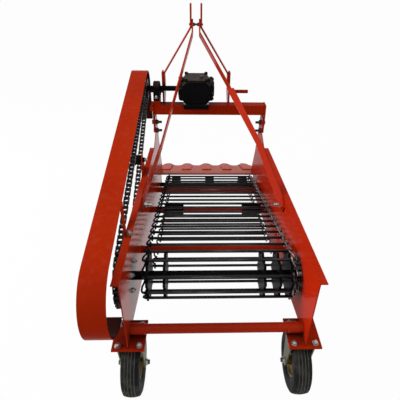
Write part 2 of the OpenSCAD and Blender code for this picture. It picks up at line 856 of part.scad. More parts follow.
// Chain guard: one bent strip, open below between its two ends
module chain_guard() {
    c1 = guard_rear_c;
    c2 = guard_front_c;
    front = c2[0] + guard_front_r;
    color(RED) placed() {
        difference() {
            loop_solid(guard_out, guard_w, c1, guard_rear_r + guard_t, c2, guard_front_r + guard_t);
            loop_solid(guard_out - 1, guard_w + 2, c1, guard_rear_r, c2, guard_front_r);
            slab(guard_out - 1, guard_w + 2) polygon([
                c1 + [guard_tail, 0], c2, c2 + [2 * guard_front_r, 0], [c2[0] + 2 * guard_front_r, 0],
                [c1[0] + guard_tail, 0]
            ]);
        }
        translate([guard_out, front, c2[1] - guard_drop]) cube([guard_w, guard_t, guard_drop + 1]);
    }
}

// Tab from the flange up to the guard's inner edge
module guard_tab() {
    ends = [tab_y - tab_w / 2, tab_y + tab_w / 2];
    color(RED) placed() {
        slab(guard_in, -plate_x - guard_in) polygon([
            for (y = ends) [y, top_z(y)], for (k = [1, 0]) [ends[k], top_z(ends[k]) + guard_t]
        ]);
        slab(guard_in, guard_t) polygon([
            for (y = ends) [y, top_z(y)], for (k = [1, 0]) [ends[k], guard_z(ends[k])]
        ]);
    }
}

// Stay from the left leg to the guard's front end
module guard_stay() {
    front = axis_y + guard_front_r + guard_t;
    color(RED) placed() translate([guard_in, beam_y + beam_w / 2, beam_z + 10])
        cube([-leg_out - guard_in, front - beam_y - beam_w / 2, 30]);
}

// Conveyor web: rods joined near their ends by flat links
module web_link(p, q) {
    along = (q - p) / norm(q - p);
    half = link_h / 2 * [-along[1], along[0]];
    polygon([p + along + half, q - along + half, q - along - half, p + along - half]);
}

module conveyor_web() {
    length = loop_len(driven_c, web_drive_r, idler_c, web_idler_r);
    rods = round(length / rod_pitch);
    row = [for (k = [0 : rods])
        loop_at((k % rods + 0.5) * length / rods, driven_c, web_drive_r, idler_c, web_idler_r)];
    color(BLACK) placed() for (k = [0 : rods - 1]) {
        translate([web_left, row[k][0], row[k][1]]) rotate([0, 90, 0])
            cylinder(d = rod_d, h = rod_l, $fn = 8);
        for (x = [web_left + link_in, web_left + rod_l - link_in - link_w])
            slab(x, link_w) web_link(row[k], row[k + 1]);
    }
}

// Drive shaft with the toothed discs that carry the rods round
module drive_disc_shape() {
    root = web_drive_r - rod_r - seat_gap;
    circle(root);
    for (k = [0 : sprocket_teeth - 1]) rotate((k + 0.5) * 360 / sprocket_teeth) polygon([
        [root - 8, -15], [web_drive_r, -10], [web_drive_r + rod_r, -5],
        [web_drive_r + rod_r, 5], [web_drive_r, 10], [root - 8, 15]
    ]);
}

module drive_shaft() {
    disc_t = 10;
    inset = link_in + link_w + 6;
    discs = [
        web_left + inset, web_left + inner_disc[0],
        web_right - inner_disc[2], web_right - inner_disc[1], web_right - inset - disc_t
    ];
    color(BLACK) placed() {
        bar(shaft_d, chain_x - hub_l, plate_out + bearing_t + 8, driven_c);
        for (x = discs) slab(x, disc_t) translate(driven_c) rotate(disc_turn) drive_disc_shape();
    }
}

module drive_bearing(side) {
    color(BLACK) placed() on_side(side) difference() {
        union() {
            bar(bearing_house_d, plate_out, plate_out + bearing_t, driven_c);
            slab(plate_out, flange_t) translate(driven_c) polygon([
                for (a = [0 : 90 : 270], y = [flange_cut - flange_half, flange_half - flange_cut])
                    [flange_half * cos(a) - y * sin(a), flange_half * sin(a) + y * cos(a)]
            ]);
        }
        bar(shaft_d + 2 * round_gap, plate_out - 1, plate_out + bearing_t + 1, driven_c);
    }
}

module drive_bearing_left() { drive_bearing(-1); }
module drive_bearing_right() { drive_bearing(1); }

// Front idler: a shaft between the plates with three plain discs under the rods
module front_idler() {
    disc_r = web_idler_r - rod_r - seat_gap;
    color(BLACK) placed() {
        bar(idler_d, -plate_x, plate_x, idler_c);
        for (x = [web_left + idler_in, web_x, web_right - idler_in])
            bar(2 * disc_r, x - idler_disc / 2, x + idler_disc / 2, idler_c);
    }
}

// Rollers under the upper run, on the middle tube
module support_rollers() {
    c = [cross_mid_y, web_z(cross_mid_y) - under_web(roller_d / 2)];
    color(BLACK) placed() difference() {
        for (side = [-1, 1]) bar(
            roller_d, web_x + side * roller_mid - roller_l / 2, web_x + side * roller_mid + roller_l / 2, c
        );
        bar(cross_tube_d + 2 * round_gap, -plate_x, plate_x, c);
    }
}

side_plate_left();
side_plate_right();
cross_beam();
beam_leg_left();
beam_leg_right();
rear_tube();
cross_tube_rear();
cross_tube_middle();
cross_tube_front();
foot_plate_left();
foot_plate_right();
caster_fork_left();
caster_fork_right();
caster_axle_left();
caster_axle_right();
tyre_left();
tyre_right();
rim_left();
rim_right();
blade();
mast_left();
mast_right();
mast_spacer();
brace_left();
brace_right();
hitch_bracket_left();
hitch_bracket_right();
hitch_pin_left();
hitch_pin_right();
gearbox();
gearbox_foot();
pto_stub();
output_shaft();
bearing_stand();
shaft_bearing();
driver_sprocket();
driven_sprocket();
drive_chain();
tensioner_bracket();
tensioner_roller();
chain_guard();
guard_tab();
guard_stay();
conveyor_web();
drive_shaft();
drive_bearing_left();
drive_bearing_right();
front_idler();
support_rollers();
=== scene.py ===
"""Looks of a mounted potato digger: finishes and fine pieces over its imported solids.

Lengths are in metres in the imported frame: +Y points to the tractor, +X to the right and Z is 0 on the ground.
"""

import json
import logging
import math
import random
from dataclasses import dataclass, field
from enum import Enum
from typing import Any, Iterable, Sequence

import bpy
from mathutils import Matrix, Vector


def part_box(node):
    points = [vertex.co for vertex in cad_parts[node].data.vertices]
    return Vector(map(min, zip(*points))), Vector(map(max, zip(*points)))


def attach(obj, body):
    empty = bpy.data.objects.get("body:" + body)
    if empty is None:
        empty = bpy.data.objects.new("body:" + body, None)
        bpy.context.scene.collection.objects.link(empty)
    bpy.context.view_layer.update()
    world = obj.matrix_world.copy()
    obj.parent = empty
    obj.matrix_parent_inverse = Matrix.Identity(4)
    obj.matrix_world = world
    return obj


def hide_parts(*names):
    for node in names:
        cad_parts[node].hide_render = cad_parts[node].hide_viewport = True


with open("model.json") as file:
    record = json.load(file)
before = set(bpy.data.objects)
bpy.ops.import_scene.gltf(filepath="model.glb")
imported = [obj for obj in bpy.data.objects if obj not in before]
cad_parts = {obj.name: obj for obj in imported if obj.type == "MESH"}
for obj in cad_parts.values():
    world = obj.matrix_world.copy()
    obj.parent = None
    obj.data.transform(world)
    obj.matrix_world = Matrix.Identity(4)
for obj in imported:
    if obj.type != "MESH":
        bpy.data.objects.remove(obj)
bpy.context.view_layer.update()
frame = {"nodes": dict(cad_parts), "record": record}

LOG = logging.getLogger("potato_digger")
MM = 0.001
SHARP_ANGLE = math.radians(34)
X_AXIS = Vector((1, 0, 0))
Y_AXIS = Vector((0, 1, 0))
Z_AXIS = Vector((0, 0, 1))

Colour = tuple[float, float, float]
Point2 = tuple[float, float]
Point3 = tuple[float, float, float]
Profile = tuple[Point2, ...]
# A bolt's diameter and the length of thread that stands out of its nut
Thread = tuple[float, float]
# A plate's thickness and the chamfer of its edges
Sheet = tuple[float, float]
# The limits of a smooth step
Band = tuple[float, float]
WHITE: Colour = (1.0, 1.0, 1.0)


class Side(Enum):
    """The two sides of the machine, with the sign of their X."""

    LEFT = -1
    RIGHT = 1

    @property
    def word(self) -> str:
        """The side's name in node and piece names."""
        return self.name.lower()

    def inner(self, low: Vector, high: Vector) -> float:
        """X of a box's face towards the machine's middle."""
        return high.x if self is Side.LEFT else low.x

    def outer(self, low: Vector, high: Vector) -> float:
        """X of a box's face away from the machine's middle."""
        return low.x if self is Side.LEFT else high.x


class Body(Enum):
    """The bodies that pieces ride on."""

    FRAME = "frame"
    WHEEL_LEFT = "wheel_left"
    WHEEL_RIGHT = "wheel_right"


class Signal:
    """A shader value that takes part in Python expressions."""

    def __init__(self, graph: "Graph", socket: bpy.types.NodeSocket) -> None:
        """Keeps an output socket and the graph that it belongs to."""
        self.graph = graph
        self.socket = socket

    def _maths(self, operation: str, first: Any, second: Any) -> "Signal":
        """The result of a Math node with an operation and two values or signals."""
        return self.graph.add("ShaderNodeMath", {"operation": operation}, {0: first, 1: second})

    def __add__(self, other: Any) -> "Signal":
        """The sum with a value or signal."""
        return self._maths("ADD", self, other)

    def __radd__(self, other: Any) -> "Signal":
        """The sum with a value on the left."""
        return self._maths("ADD", other, self)

    def __sub__(self, other: Any) -> "Signal":
        """The difference from a value or signal."""
        return self._maths("SUBTRACT", self, other)

    def __rsub__(self, other: Any) -> "Signal":
        """A value on the left less this signal."""
        return self._maths("SUBTRACT", other, self)

    def __mul__(self, other: Any) -> "Signal":
        """The product with a value or signal."""
        return self._maths("MULTIPLY", self, other)

    def __rmul__(self, other: Any) -> "Signal":
        """The product with a value on the left."""
        return self._maths("MULTIPLY", other, self)


class Graph:
    """The shader nodes of one material or world."""

    upward: Band = (0.35, 0.95)
    edge: Band = (0.02, 0.2)

    def __init__(self, owner: bpy.types.Material | bpy.types.World) -> None:
        """Clears the owner's nodes.

        Args:
            owner: The material or world to fill.
        """
        owner.use_nodes = True
        self.tree = owner.node_tree
        self.tree.nodes.clear()

    def add(
        self,
        kind: str,
        settings: dict[str, Any] | None = None,
        inputs: dict[str | int, Any] | None = None,
        output: str | int = 0,
    ) -> Signal:
        """Adds one node.

        Args:
            kind: The node's type.
            settings: Its properties, set first.
            inputs: Values or signals for its sockets.
            output: The output to use.

        Returns:
            That output as a signal.
        """
        node = self.tree.nodes.new(kind)
        for key, value in (settings or {}).items():
            setattr(node, key, value)
        for key, value in (inputs or {}).items():
            self.feed(node.inputs[key], value)
        return Signal(self, node.outputs[output])

    def feed(self, socket: bpy.types.NodeSocket, value: Any) -> None:
        """Links a signal to a socket, or sets the socket's own value.

        Args:
            socket: The input socket.
            value: A signal, a number, a vector or a colour.
        """
        if isinstance(value, Signal):
            self.tree.links.new(value.socket, socket)
        elif socket.type == "RGBA" and len(value) == 3:
            socket.default_value = (*value, 1.0)
        else:
            socket.default_value = value

    def place(self) -> Signal:
        """The position on the piece, in metres."""
        return self.add("ShaderNodeTexCoord", output="Object")

    def noise(self, scale: float, detail: float = 2.0, stretch: Colour = (1.0, 1.0, 1.0)) -> Signal:
        """Noise from 0 to 1, by clouds per metre, octaves of detail and shares along X, Y and Z."""
        where = self.add("ShaderNodeMapping", {}, {"Vector": self.place(), "Scale": stretch})
        return self.add("ShaderNodeTexNoise", {}, {"Vector": where, "Scale": scale, "Detail": detail}, 0)

    def window(self, value: Signal, low: float, high: float) -> Signal:
        """A smooth step of a signal, from 0 at low to 1 at high."""
        settings = {"interpolation_type": "SMOOTHSTEP", "clamp": True}
        return self.add("ShaderNodeMapRange", settings, {"Value": value, "From Min": low, "From Max": high})

    def blend(self, factor: Signal | float, first: Any, second: Any) -> Signal:
        """A mix of two colours, with the factor as the second one's share."""
        return self.add("ShaderNodeMix", {"data_type": "RGBA"}, {0: factor, 6: first, 7: second}, 2)

    def facing_up(self) -> Signal:
        """How far the surface faces upwards.

        Returns:
            The share, 0 to 1.
        """
        normal = self.add("ShaderNodeNewGeometry", output="Normal")
        height = self.add("ShaderNodeSeparateXYZ", {}, {0: normal}, 2)
        return self.window(height, *self.upward)

    def openness(self, reach: float) -> Signal:
        """1 on open faces and towards 0 in hollows narrower than a reach."""
        return self.add("ShaderNodeAmbientOcclusion", {"samples": 6}, {"Distance": reach}, "AO")

    def rounded(self, radius: float) -> Signal:
        """The normal of the surface with its edges rounded to a radius."""
        return self.add("ShaderNodeBevel", {"samples": 4}, {"Radius": radius})

    def edges(self, radius: float) -> Signal:
        """A mask of the edges, 1 within about a radius of them and 0 on flat faces."""
        flat = self.add("ShaderNodeNewGeometry", output="Normal")
        return self.window(1.0 - self.dot(flat, self.rounded(radius)), *self.edge)

    def dot(self, first: Signal, second: Signal) -> Signal:
        """The dot product of two vectors."""
        return self.add("ShaderNodeVectorMath", {"operation": "DOT_PRODUCT"}, {0: first, 1: second}, "Value")

    def bump(self, height: Signal, distance: float, normal: Signal | None = None) -> Signal:
        """A bumped normal.

        Args:
            height: The bumps, 0 to 1.
            distance: Their height.
            normal: The normal to bump, or none for the surface's own.

        Returns:
            The new normal.
        """
        inputs: dict[str | int, Any] = {"Height": height, "Distance": distance, "Strength": 1.0}
        if normal is not None:
            inputs["Normal"] = normal
        return self.add("ShaderNodeBump", {}, inputs)

    def surface(self, **sockets: Any) -> None:
        """Ends the graph with one Principled shader.

        Args:
            sockets: Its inputs, with _ for a space in their names.
        """
        inputs = {name.replace("_", " "): value for name, value in sockets.items()}
        shader = self.add("ShaderNodeBsdfPrincipled", {}, inputs)
        self.add_output("ShaderNodeOutputMaterial", shader)

    def add_output(self, kind: str, shader: Signal) -> None:
        """Ends the graph with an output of a kind that shows a shader."""
        node = self.tree.nodes.new(kind)
        self.tree.links.new(shader.socket, node.inputs["Surface"])


@dataclass(frozen=True)
class Finish:
    """A surface finish with its material slot and main colour."""

    name: str
    slot: str
    colour: Colour

    def material(self) -> bpy.types.Material:
        """Makes the finish's material once.

        Returns:
            The material.
        """
        made = bpy.data.materials.get(self.name)
        if made is None:
            made = bpy.data.materials.new(self.name)
            self.compose(Graph(made))
        return made

    def compose(self, graph: Graph) -> None:
        """Fills the material's graph, in each kind of finish."""
        raise NotImplementedError


@dataclass(frozen=True)
class GlossPaint(Finish):
    """Sprayed gloss paint with orange peel, thin dust, chipped edges and painted shade in its hollows."""

    shade: Colour = (0.37, 0.018, 0.003)
    dust: Colour = (0.44, 0.07, 0.04)
    chip: Colour = (0.16, 0.05, 0.04)
    # Painted shade: a dark red laid into hollows narrower than the reach, where shade falls
    painted_shade: Colour = (0.055, 0.010, 0.006)
    reach: float = 0.17
    roughness: float = 0.12
    ior: float = 1.045
    peel: float = 0.00010
    edge: float = 0.0016
    cloud_scale: float = 2.2
    cloud_band: Band = (0.3, 0.7)
    dust_scale: float = 46.0
    dust_band: Band = (0.42, 0.8)
    dust_share: float = 0.22
    chip_scale: float = 160.0
    chip_band: Band = (0.56, 0.66)
    chip_share: float = 0.8
    # Ambient occlusion values over which the painted shade in hollows fades out
    painted_shade_band: Band = (0.15, 0.66)
    peel_scale: float = 420.0

    def compose(self, graph: Graph) -> None:
        """Fills the paint's graph.

        Args:
            graph: The graph to fill.
        """
        cloud = graph.window(graph.noise(self.cloud_scale, 3.0), *self.cloud_band)
        fine = graph.noise(self.dust_scale, 4.0)
        colour = graph.blend(cloud, self.shade, self.colour)
        dusty = graph.facing_up() * graph.window(fine, *self.dust_band) * self.dust_share
        colour = graph.blend(dusty, colour, self.dust)
        chipped = graph.edges(self.edge) * graph.window(graph.noise(self.chip_scale, 3.0), *self.chip_band)
        colour = graph.blend(chipped * self.chip_share, colour, self.chip)
        # Painted shade: the colour darkens in hollows that ambient occlusion finds within the reach
        colour = graph.blend(graph.window(graph.openness(self.reach), *self.painted_shade_band), self.painted_shade, colour)
        # Some paints also paint shade on the inside of their solid here
        colour = self.paint_shade_inside(graph, colour)
        normal = graph.bump(graph.noise(self.peel_scale, 1.0), self.peel, graph.rounded(self.edge))
        graph.surface(
            Base_Color=colour,
            Roughness=self.roughness + 0.10 * fine + 0.2 * chipped,
            IOR=self.ior,
            Normal=normal,
        )

    def paint_shade_inside(self, graph: Graph, colour: Signal) -> Signal:
        """The colour, on which a paint may paint shade on the inside of its solid."""
        return colour


@dataclass(frozen=True)
class GuardPaint(GlossPaint):
    """Gloss paint on a closed guard, with painted shade on the guard's inside."""

    # Painted shade: a near black laid on the guard's inside, where shade falls
    inside_shade: Colour = (0.026, 0.008, 0.006)
    inside_shade_band: Band = (-0.004, 0.004)
    node: str = "chain_guard"

    def paint_shade_inside(self, graph: Graph, colour: Signal) -> Signal:
        """Paints shade on the faces that look towards the guard's middle.

        Args:
            graph: The graph to fill.
            colour: The colour outside.

        Returns:
            The colour on both sides.
        """
        middle = tuple(span(self.node)[2])
        spot = graph.add("ShaderNodeNewGeometry", output="Position")
        away = graph.add("ShaderNodeVectorMath", {"operation": "SUBTRACT"}, {0: spot, 1: middle})
        normal = graph.add("ShaderNodeNewGeometry", output="True Normal")
        outward = graph.dot(away, normal)
        # Painted shade on the faces that look inwards
        return graph.blend(graph.window(outward, *self.inside_shade_band), self.inside_shade, colour)


@dataclass(frozen=True)
class RodPaint(Finish):
    """Black paint on round rods, rubbed to grey steel in streaks along the rods."""

    bare: Colour = (0.16, 0.16, 0.16)
    rub: float = 0.45
    ior: float = 1.14
    roughness: float = 0.28
    streak_scale: float = 90.0
    streak: Colour = (0.08, 1.0, 1.0)
    rub_band: Band = (0.62, 0.82)
    grain_scale: float = 260.0
    grain: float = 0.00015
    edge: float = 0.0008

    def compose(self, graph: Graph) -> None:
        """Fills the paint's graph.

        Args:
            graph: The graph to fill.
        """
        streak = graph.noise(self.streak_scale, 4.0, self.streak)
        grain = graph.noise(self.grain_scale, 2.0)
        rubbed = graph.window(streak + 0.25 * grain, *self.rub_band) * self.rub
        graph.surface(
            Base_Color=graph.blend(rubbed, self.colour, self.bare),
            Metallic=rubbed * 0.7,
            Roughness=self.roughness + 0.22 * grain,
            IOR=self.ior,
            Normal=graph.bump(grain, self.grain, graph.rounded(self.edge)),
        )


@dataclass(frozen=True)
class Casting(Finish):
    """Painted sand casting with a grainy skin and brown dust on top."""

    dust: Colour = (0.060, 0.044, 0.034)
    ior: float = 1.08
    roughness: float = 0.34
    grain_scale: float = 190.0
    lump_scale: float = 38.0
    dust_band: Band = (0.35, 0.75)
    dust_share: float = 0.85
    skin: float = 0.0004
    edge: float = 0.0022

    def compose(self, graph: Graph) -> None:
        """Fills the casting's graph.

        Args:
            graph: The graph to fill.
        """
        grain = graph.noise(self.grain_scale, 5.0)
        lump = graph.noise(self.lump_scale, 2.0)
        dusty = graph.facing_up() * graph.window(lump + 0.3 * grain, *self.dust_band) * self.dust_share
        normal = graph.bump(grain + lump, self.skin, graph.rounded(self.edge))
        graph.surface(
            Base_Color=graph.blend(dusty, self.colour, self.dust),
            Roughness=self.roughness + 0.25 * grain,
            IOR=self.ior,
            Normal=normal,
        )


@dataclass(frozen=True)
class Metal(Finish):
    """Bare or plated metal with cloudy plating and fine scratches."""

    tint: Colour = (0.5, 0.5, 0.5)
    metallic: float = 0.9
    roughness: float = 0.28
    cloud: float = 9.0
    cloud_band: Band = (0.32, 0.68)
    scratch_scale: float = 240.0
    scratch_run: Colour = (1.0, 0.12, 1.0)
    scratch: float = 0.00008
    edge: float = 0.0008

    def compose(self, graph: Graph) -> None:
        """Fills the metal's graph.

        Args:
            graph: The graph to fill.
        """
        tone = graph.window(graph.noise(self.cloud, 4.0), *self.cloud_band)
        scratch = graph.noise(self.scratch_scale, 3.0, self.scratch_run)
        graph.surface(
            Base_Color=graph.blend(tone, self.colour, self.tint),
            Metallic=self.metallic,
            Roughness=self.roughness + 0.22 * scratch,
            Normal=graph.bump(scratch, self.scratch, graph.rounded(self.edge)),
        )


@dataclass(frozen=True)
class Rubber(Finish):
    """Dull tyre rubber, greyed by dust, with silt in its grooves."""

    dust: Colour = (0.15, 0.143, 0.126)
    silt: Colour = (0.40, 0.38, 0.34)
    ior: float = 1.15
    roughness: float = 0.58
    cloud_scale: float = 26.0
    dust_band: Band = (0.44, 0.72)
    dust_share: float = 0.3
    groove: float = 0.006
    silt_band: Band = (0.3, 0.8)
    silt_share: float = 0.8
    grain_scale: float = 420.0
    grain: float = 0.0002

    def compose(self, graph: Graph) -> None:
        """Fills the rubber's graph.

        Args:
            graph: The graph to fill.
        """
        cloud = graph.noise(self.cloud_scale, 5.0)
        grain = graph.noise(self.grain_scale, 2.0)
        hollow = 1.0 - graph.window(graph.openness(self.groove), *self.silt_band)
        dusty = graph.window(cloud, *self.dust_band) * self.dust_share
        colour = graph.blend(dusty, self.colour, self.dust)
        graph.surface(
            Base_Color=graph.blend(hollow * self.silt_share, colour, self.silt),
            Roughness=self.roughness + 0.2 * grain,
            IOR=self.ior,
            Normal=graph.bump(grain, self.grain),
        )


RED = GlossPaint("red_gloss_paint", "red_paint", (0.43, 0.024, 0.003))
WELD = GlossPaint("red_weld_paint", "red_paint", (0.40, 0.022, 0.003), roughness=0.3, peel=0.0004)
CAST_BLACK = Casting("black_casting_paint", "black_casting", (0.005, 0.005, 0.006))
BLACK = RodPaint("black_steel_paint", "black_steel", (0.005, 0.005, 0.006), rub=0.05, ior=1.06)
ROD = RodPaint("black_rod_paint", "black_steel", (0.006, 0.006, 0.007), rub=0.45, ior=1.28)
CHAIN = Metal("oiled_chain_steel", "chain_steel", (0.01, 0.01, 0.01), (0.022, 0.021, 0.02), 0.5, 0.3, 40.0)
HOOK = Metal("worn_hook_steel", "bright_steel", (0.26, 0.25, 0.24), (0.015, 0.015, 0.015), 0.85, 0.25, 60.0)
DARK_BOLT = Metal("blackened_bolts", "black_steel", (0.03, 0.03, 0.03), (0.06, 0.06, 0.06), 0.7, 0.35, 50.0)
BOLT = Metal("bright_zinc_bolts", "bright_steel", (0.52, 0.52, 0.51), (0.22, 0.22, 0.22), 0.95, 0.22, 90.0)
STEEL = Metal("plain_steel", "bright_steel", (0.55, 0.54, 0.52), (0.40, 0.39, 0.37), 0.95, 0.3, 24.0)
PALE_ZINC = Metal("pale_zinc_plate", "pale_zinc", (0.15, 0.145, 0.08), (0.08, 0.08, 0.045), 0.5, 0.42, 16.0)
GOLD_ZINC = Metal("gold_zinc_plate", "yellow_zinc", (0.20, 0.14, 0.03), (0.10, 0.08, 0.025), 0.7, 0.3, 18.0)
TYRE = Rubber("dusty_tyre_rubber", "tyre_rubber", (0.014, 0.014, 0.014))
# Painted light: a slightly lighter copy of the red paint for the rear tube, its sleeves and the braces,
# standing in for the light on them
TUBE = GlossPaint("red_tube_paint", "red_paint", (0.46, 0.026, 0.004), roughness=0.2, ior=1.14)
# Painted light: a much lighter copy of the red paint for the brace's strap, standing in for its highlight
STRAP = GlossPaint(
    "red_strap_paint", "red_paint", (0.62, 0.036, 0.012), shade=(0.56, 0.030, 0.010), roughness=0.2, ior=1.14
)
PLATE = GlossPaint("red_plate_paint", "red_paint", RED.colour, ior=1.11)
# Painted light: a lighter copy of the red paint on the right plate, standing in for the light on its inner face
SIDE = GlossPaint("red_side_paint", "red_paint", (0.55, 0.024, 0.004), shade=(0.48, 0.019, 0.003))
GUARD = GuardPaint("red_guard_paint", "red_paint", RED.colour)
# Painted reflection: a paler copy of the red paint on the blade and its points, standing in for the sky's sheen
# on it at a grazing angle
BLADE = GlossPaint(
    "pale_sheen_blade_paint", "red_paint", (0.56, 0.075, 0.035), shade=(0.48, 0.05, 0.02), roughness=0.2
)

SLOT_FINISHES: dict[str, Finish] = {
    "red_paint": RED,
    "black_casting": CAST_BLACK,
    "black_steel": BLACK,
    "chain_steel": CHAIN,
    "pale_zinc": PALE_ZINC,
    "bright_steel": STEEL,
    "yellow_zinc": GOLD_ZINC,
    "tyre_rubber": TYRE,
}
# The right plate, rear tube, braces and blade take lighter copies of the red paint that are painted light
NODE_FINISHES: dict[str, Finish] = {
    "side_plate_left": PLATE,
    "side_plate_right": SIDE,
    "rear_tube": TUBE,
    "brace_left": TUBE,
    "brace_right": TUBE,
    GUARD.node: GUARD,
    "blade": BLADE,
}


def in_mm(*points: Point2) -> Profile:
    """Points that are given in millimetres."""
    return tuple((x * MM, y * MM) for x, y in points)


def upright(x: float, y: float, z: float) -> Matrix:
    """A place whose own Y points up and whose Z points to the rear."""
    return Matrix.Translation((x, y, z)) @ Matrix.Rotation(math.pi / 2, 4, "X")


def facing(origin: Vector, axis: Vector) -> Matrix:
    """A place at an origin whose own Z points along an axis."""
    return Matrix.Translation(origin) @ axis.to_track_quat("Z", "Y").to_matrix().to_4x4()


def across(x: float, y: float, z: float, along: Vector) -> Matrix:
    """A place in the machine's side plane: X along a direction there and Z along the machine's X.

    Args:
        x: The origin's X.
        y: The origin's Y.
        z: The origin's Z.
        along: Direction in the Y and Z plane.

    Returns:
        The place as a matrix.
    """
    run = along.normalized()
    up = Vector((0, -run.z, run.y))
    place = Matrix((run, up, X_AXIS)).transposed().to_4x4()
    return Matrix.Translation((x, y, z)) @ place


def ring(radius: float, count: int, turn: float = 0.0) -> list[Point2]:
    """Corners of a regular polygon, counter-clockwise, with the first one at the angle turn."""
    step = math.tau / count
    return [(radius * math.cos(turn + k * step), radius * math.sin(turn + k * step)) for k in range(count)]


def inset(outline: Sequence[Point2], amount: float) -> list[Point2]:
    """An outline moved inwards by the same amount along each edge.

    Args:
        outline: Corners, counter-clockwise.
        amount: Distance to move.

    Returns:
        The moved corners.
    """
    moved = []
    for k, (x, y) in enumerate(outline):
        before, after = Vector(outline[k - 1]), Vector(outline[(k + 1) % len(outline)])
        here = Vector((x, y))
        first, second = (here - before).normalized(), (after - here).normalized()
        normals = Vector((-first.y, first.x)) + Vector((-second.y, second.x))
        shift = normals * (amount / max(1e-6, 1 + first.dot(second)))
        moved.append((x + shift.x, y + shift.y))
    return moved


def toothed(tooth: Sequence[Point2], count: int, turn: float = 0.0) -> list[Point2]:
    """Corners of a toothed wheel, counter-clockwise.

    Args:
        tooth: Corners of one tooth, as shares of the pitch and radii.
        count: Number of teeth.
        turn: Angle of the first tooth.

    Returns:
        The corners.
    """
    step = math.tau / count
    corners = [(turn + (k + share) * step, radius) for k in range(count) for share, radius in tooth]
    return [(radius * math.cos(angle), radius * math.sin(angle)) for angle, radius in corners]


def turned(profile: Sequence[Point2], steps: int) -> list[list[Point3]]:
    """Rings of points from radii and heights that turn about Z."""
    turns = [math.tau * k / steps for k in range(steps)]
    return [[(r * math.cos(a), r * math.sin(a), z) for a in turns] for r, z in profile]


class Shape:
    """Points and faces that grow into one mesh."""

    def __init__(self) -> None:
        """Starts with no points."""
        self.points: list[Vector] = []
        self.faces: list[tuple[int, ...]] = []

    def add(self, points: Iterable[Sequence[float]], faces: Iterable[Sequence[int]], at: Matrix) -> None:
        """Adds a mesh.

        Args:
            points: Its points in its own place.
            faces: Its faces, as numbers of those points.
            at: That place.
        """
        start = len(self.points)
        self.points += [at @ Vector(p) for p in points]
        self.faces += [tuple(start + k for k in face) for face in faces]

    def rings(self, rows: Sequence[Sequence[Sequence[float]]], at: Matrix, loop: bool = False) -> None:
        """Joins rings of points by faces and closes the two ends, or joins the last ring to the first.

        Args:
            rows: Rings with the same number of points.
            at: The place of the points.
            loop: Whether the rings close on themselves.
        """
        count = len(rows[0])
        points = [p for row in rows for p in row]
        faces: list[Sequence[int]] = []
        for r in range(len(rows) if loop else len(rows) - 1):
            low, high = r * count, (r + 1) % len(rows) * count
            for k in range(count):
                after = (k + 1) % count
                faces.append((low + k, low + after, high + after, high + k))
        if not loop:
            faces.append(tuple(reversed(range(count))))
            faces.append(tuple(range(len(points) - count, len(points))))
        self.add(points, faces, at)

    def lathe(self, profile: Sequence[Point2], at: Matrix, steps: int = 32) -> None:
        """Turns a closed profile of radii and heights, counter-clockwise, about the place's Z."""
        self.rings(turned(profile, steps), at, loop=True)

    def disc(self, profile: Sequence[Point2], at: Matrix, steps: int = 32) -> None:
        """Turns an open profile of radii and heights about the place's Z, with flat faces at its ends."""
        self.rings(turned(profile, steps), at)

    def prism(
        self, outline: Sequence[Point2], low: float, high: float, at: Matrix, chamfer: float = 0.0
    ) -> None:
        """Raises an outline, with chamfered edges at both ends.

        Args:
            outline: Corners, counter-clockwise.
            low: Height of the lower face.
            high: Height of the upper face.
            at: The place.
            chamfer: Size of the chamfer.
        """
        inner = inset(outline, chamfer) if chamfer else list(outline)
        rows = [(inner, low), (outline, low + chamfer), (outline, high - chamfer), (inner, high)]
        if not chamfer:
            rows = [(outline, low), (outline, high)]
        self.rings([[(x, y, z) for x, y in line] for line, z in rows], at)

    def block(self, low: Vector, high: Vector, chamfer: float = 0.0) -> None:
        """Adds a box from its lowest to its highest corner, with chamfered edges."""
        outline = [(low.x, low.y), (high.x, low.y), (high.x, high.y), (low.x, high.y)]
        self.prism(outline, low.z, high.z, Matrix.Identity(4), chamfer)

    def tube(
        self, path: Sequence[Vector], radii: float | Sequence[float], sides: int = 8, loop: bool = False
    ) -> None:
        """Adds a round bar along a path.

        Args:
            path: Points along its middle.
            radii: Its radius, or one for each point.
            sides: Number of sides.
            loop: Whether the path closes on itself.
        """
        sizes = [radii] * len(path) if isinstance(radii, (int, float)) else list(radii)
        last = len(path) - 1
        runs = []
        for k in range(len(path)):
            before = path[k - 1] if k or loop else path[k]
            after = path[(k + 1) % len(path)] if k < last or loop else path[k]
            runs.append((after - before).normalized())
        side = runs[0].orthogonal().normalized()
        rows = []
        for point, run, size in zip(path, runs, sizes):
            side = (side - run * side.dot(run)).normalized()
            up = run.cross(side)
            rows.append([point + (side * x + up * y) for x, y in ring(size, sides)])
        self.rings(rows, Matrix.Identity(4), loop)

    def build(self, name: str, body: Body, finish: Finish, replaces: Sequence[str] = ()) -> None:
        """Makes the mesh a piece of the machine.

        Args:
            name: The piece's name.
            body: The body that it rides on.
            finish: Its finish.
            replaces: Nodes that it stands for.
        """
        mesh = bpy.data.meshes.new(name)
        mesh.from_pydata([tuple(p) for p in self.points], [], self.faces)
        mesh.validate()
        mesh.shade_smooth()
        mesh.set_sharp_from_angle(angle=SHARP_ANGLE)
        mesh.materials.append(finish.material())
        piece = bpy.data.objects.new(name, mesh)
        bpy.context.scene.collection.objects.link(piece)
        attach(piece, body.value)
        if replaces:
            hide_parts(*replaces)
        LOG.info("%s: %d faces on %s", name, len(self.faces), body.value)


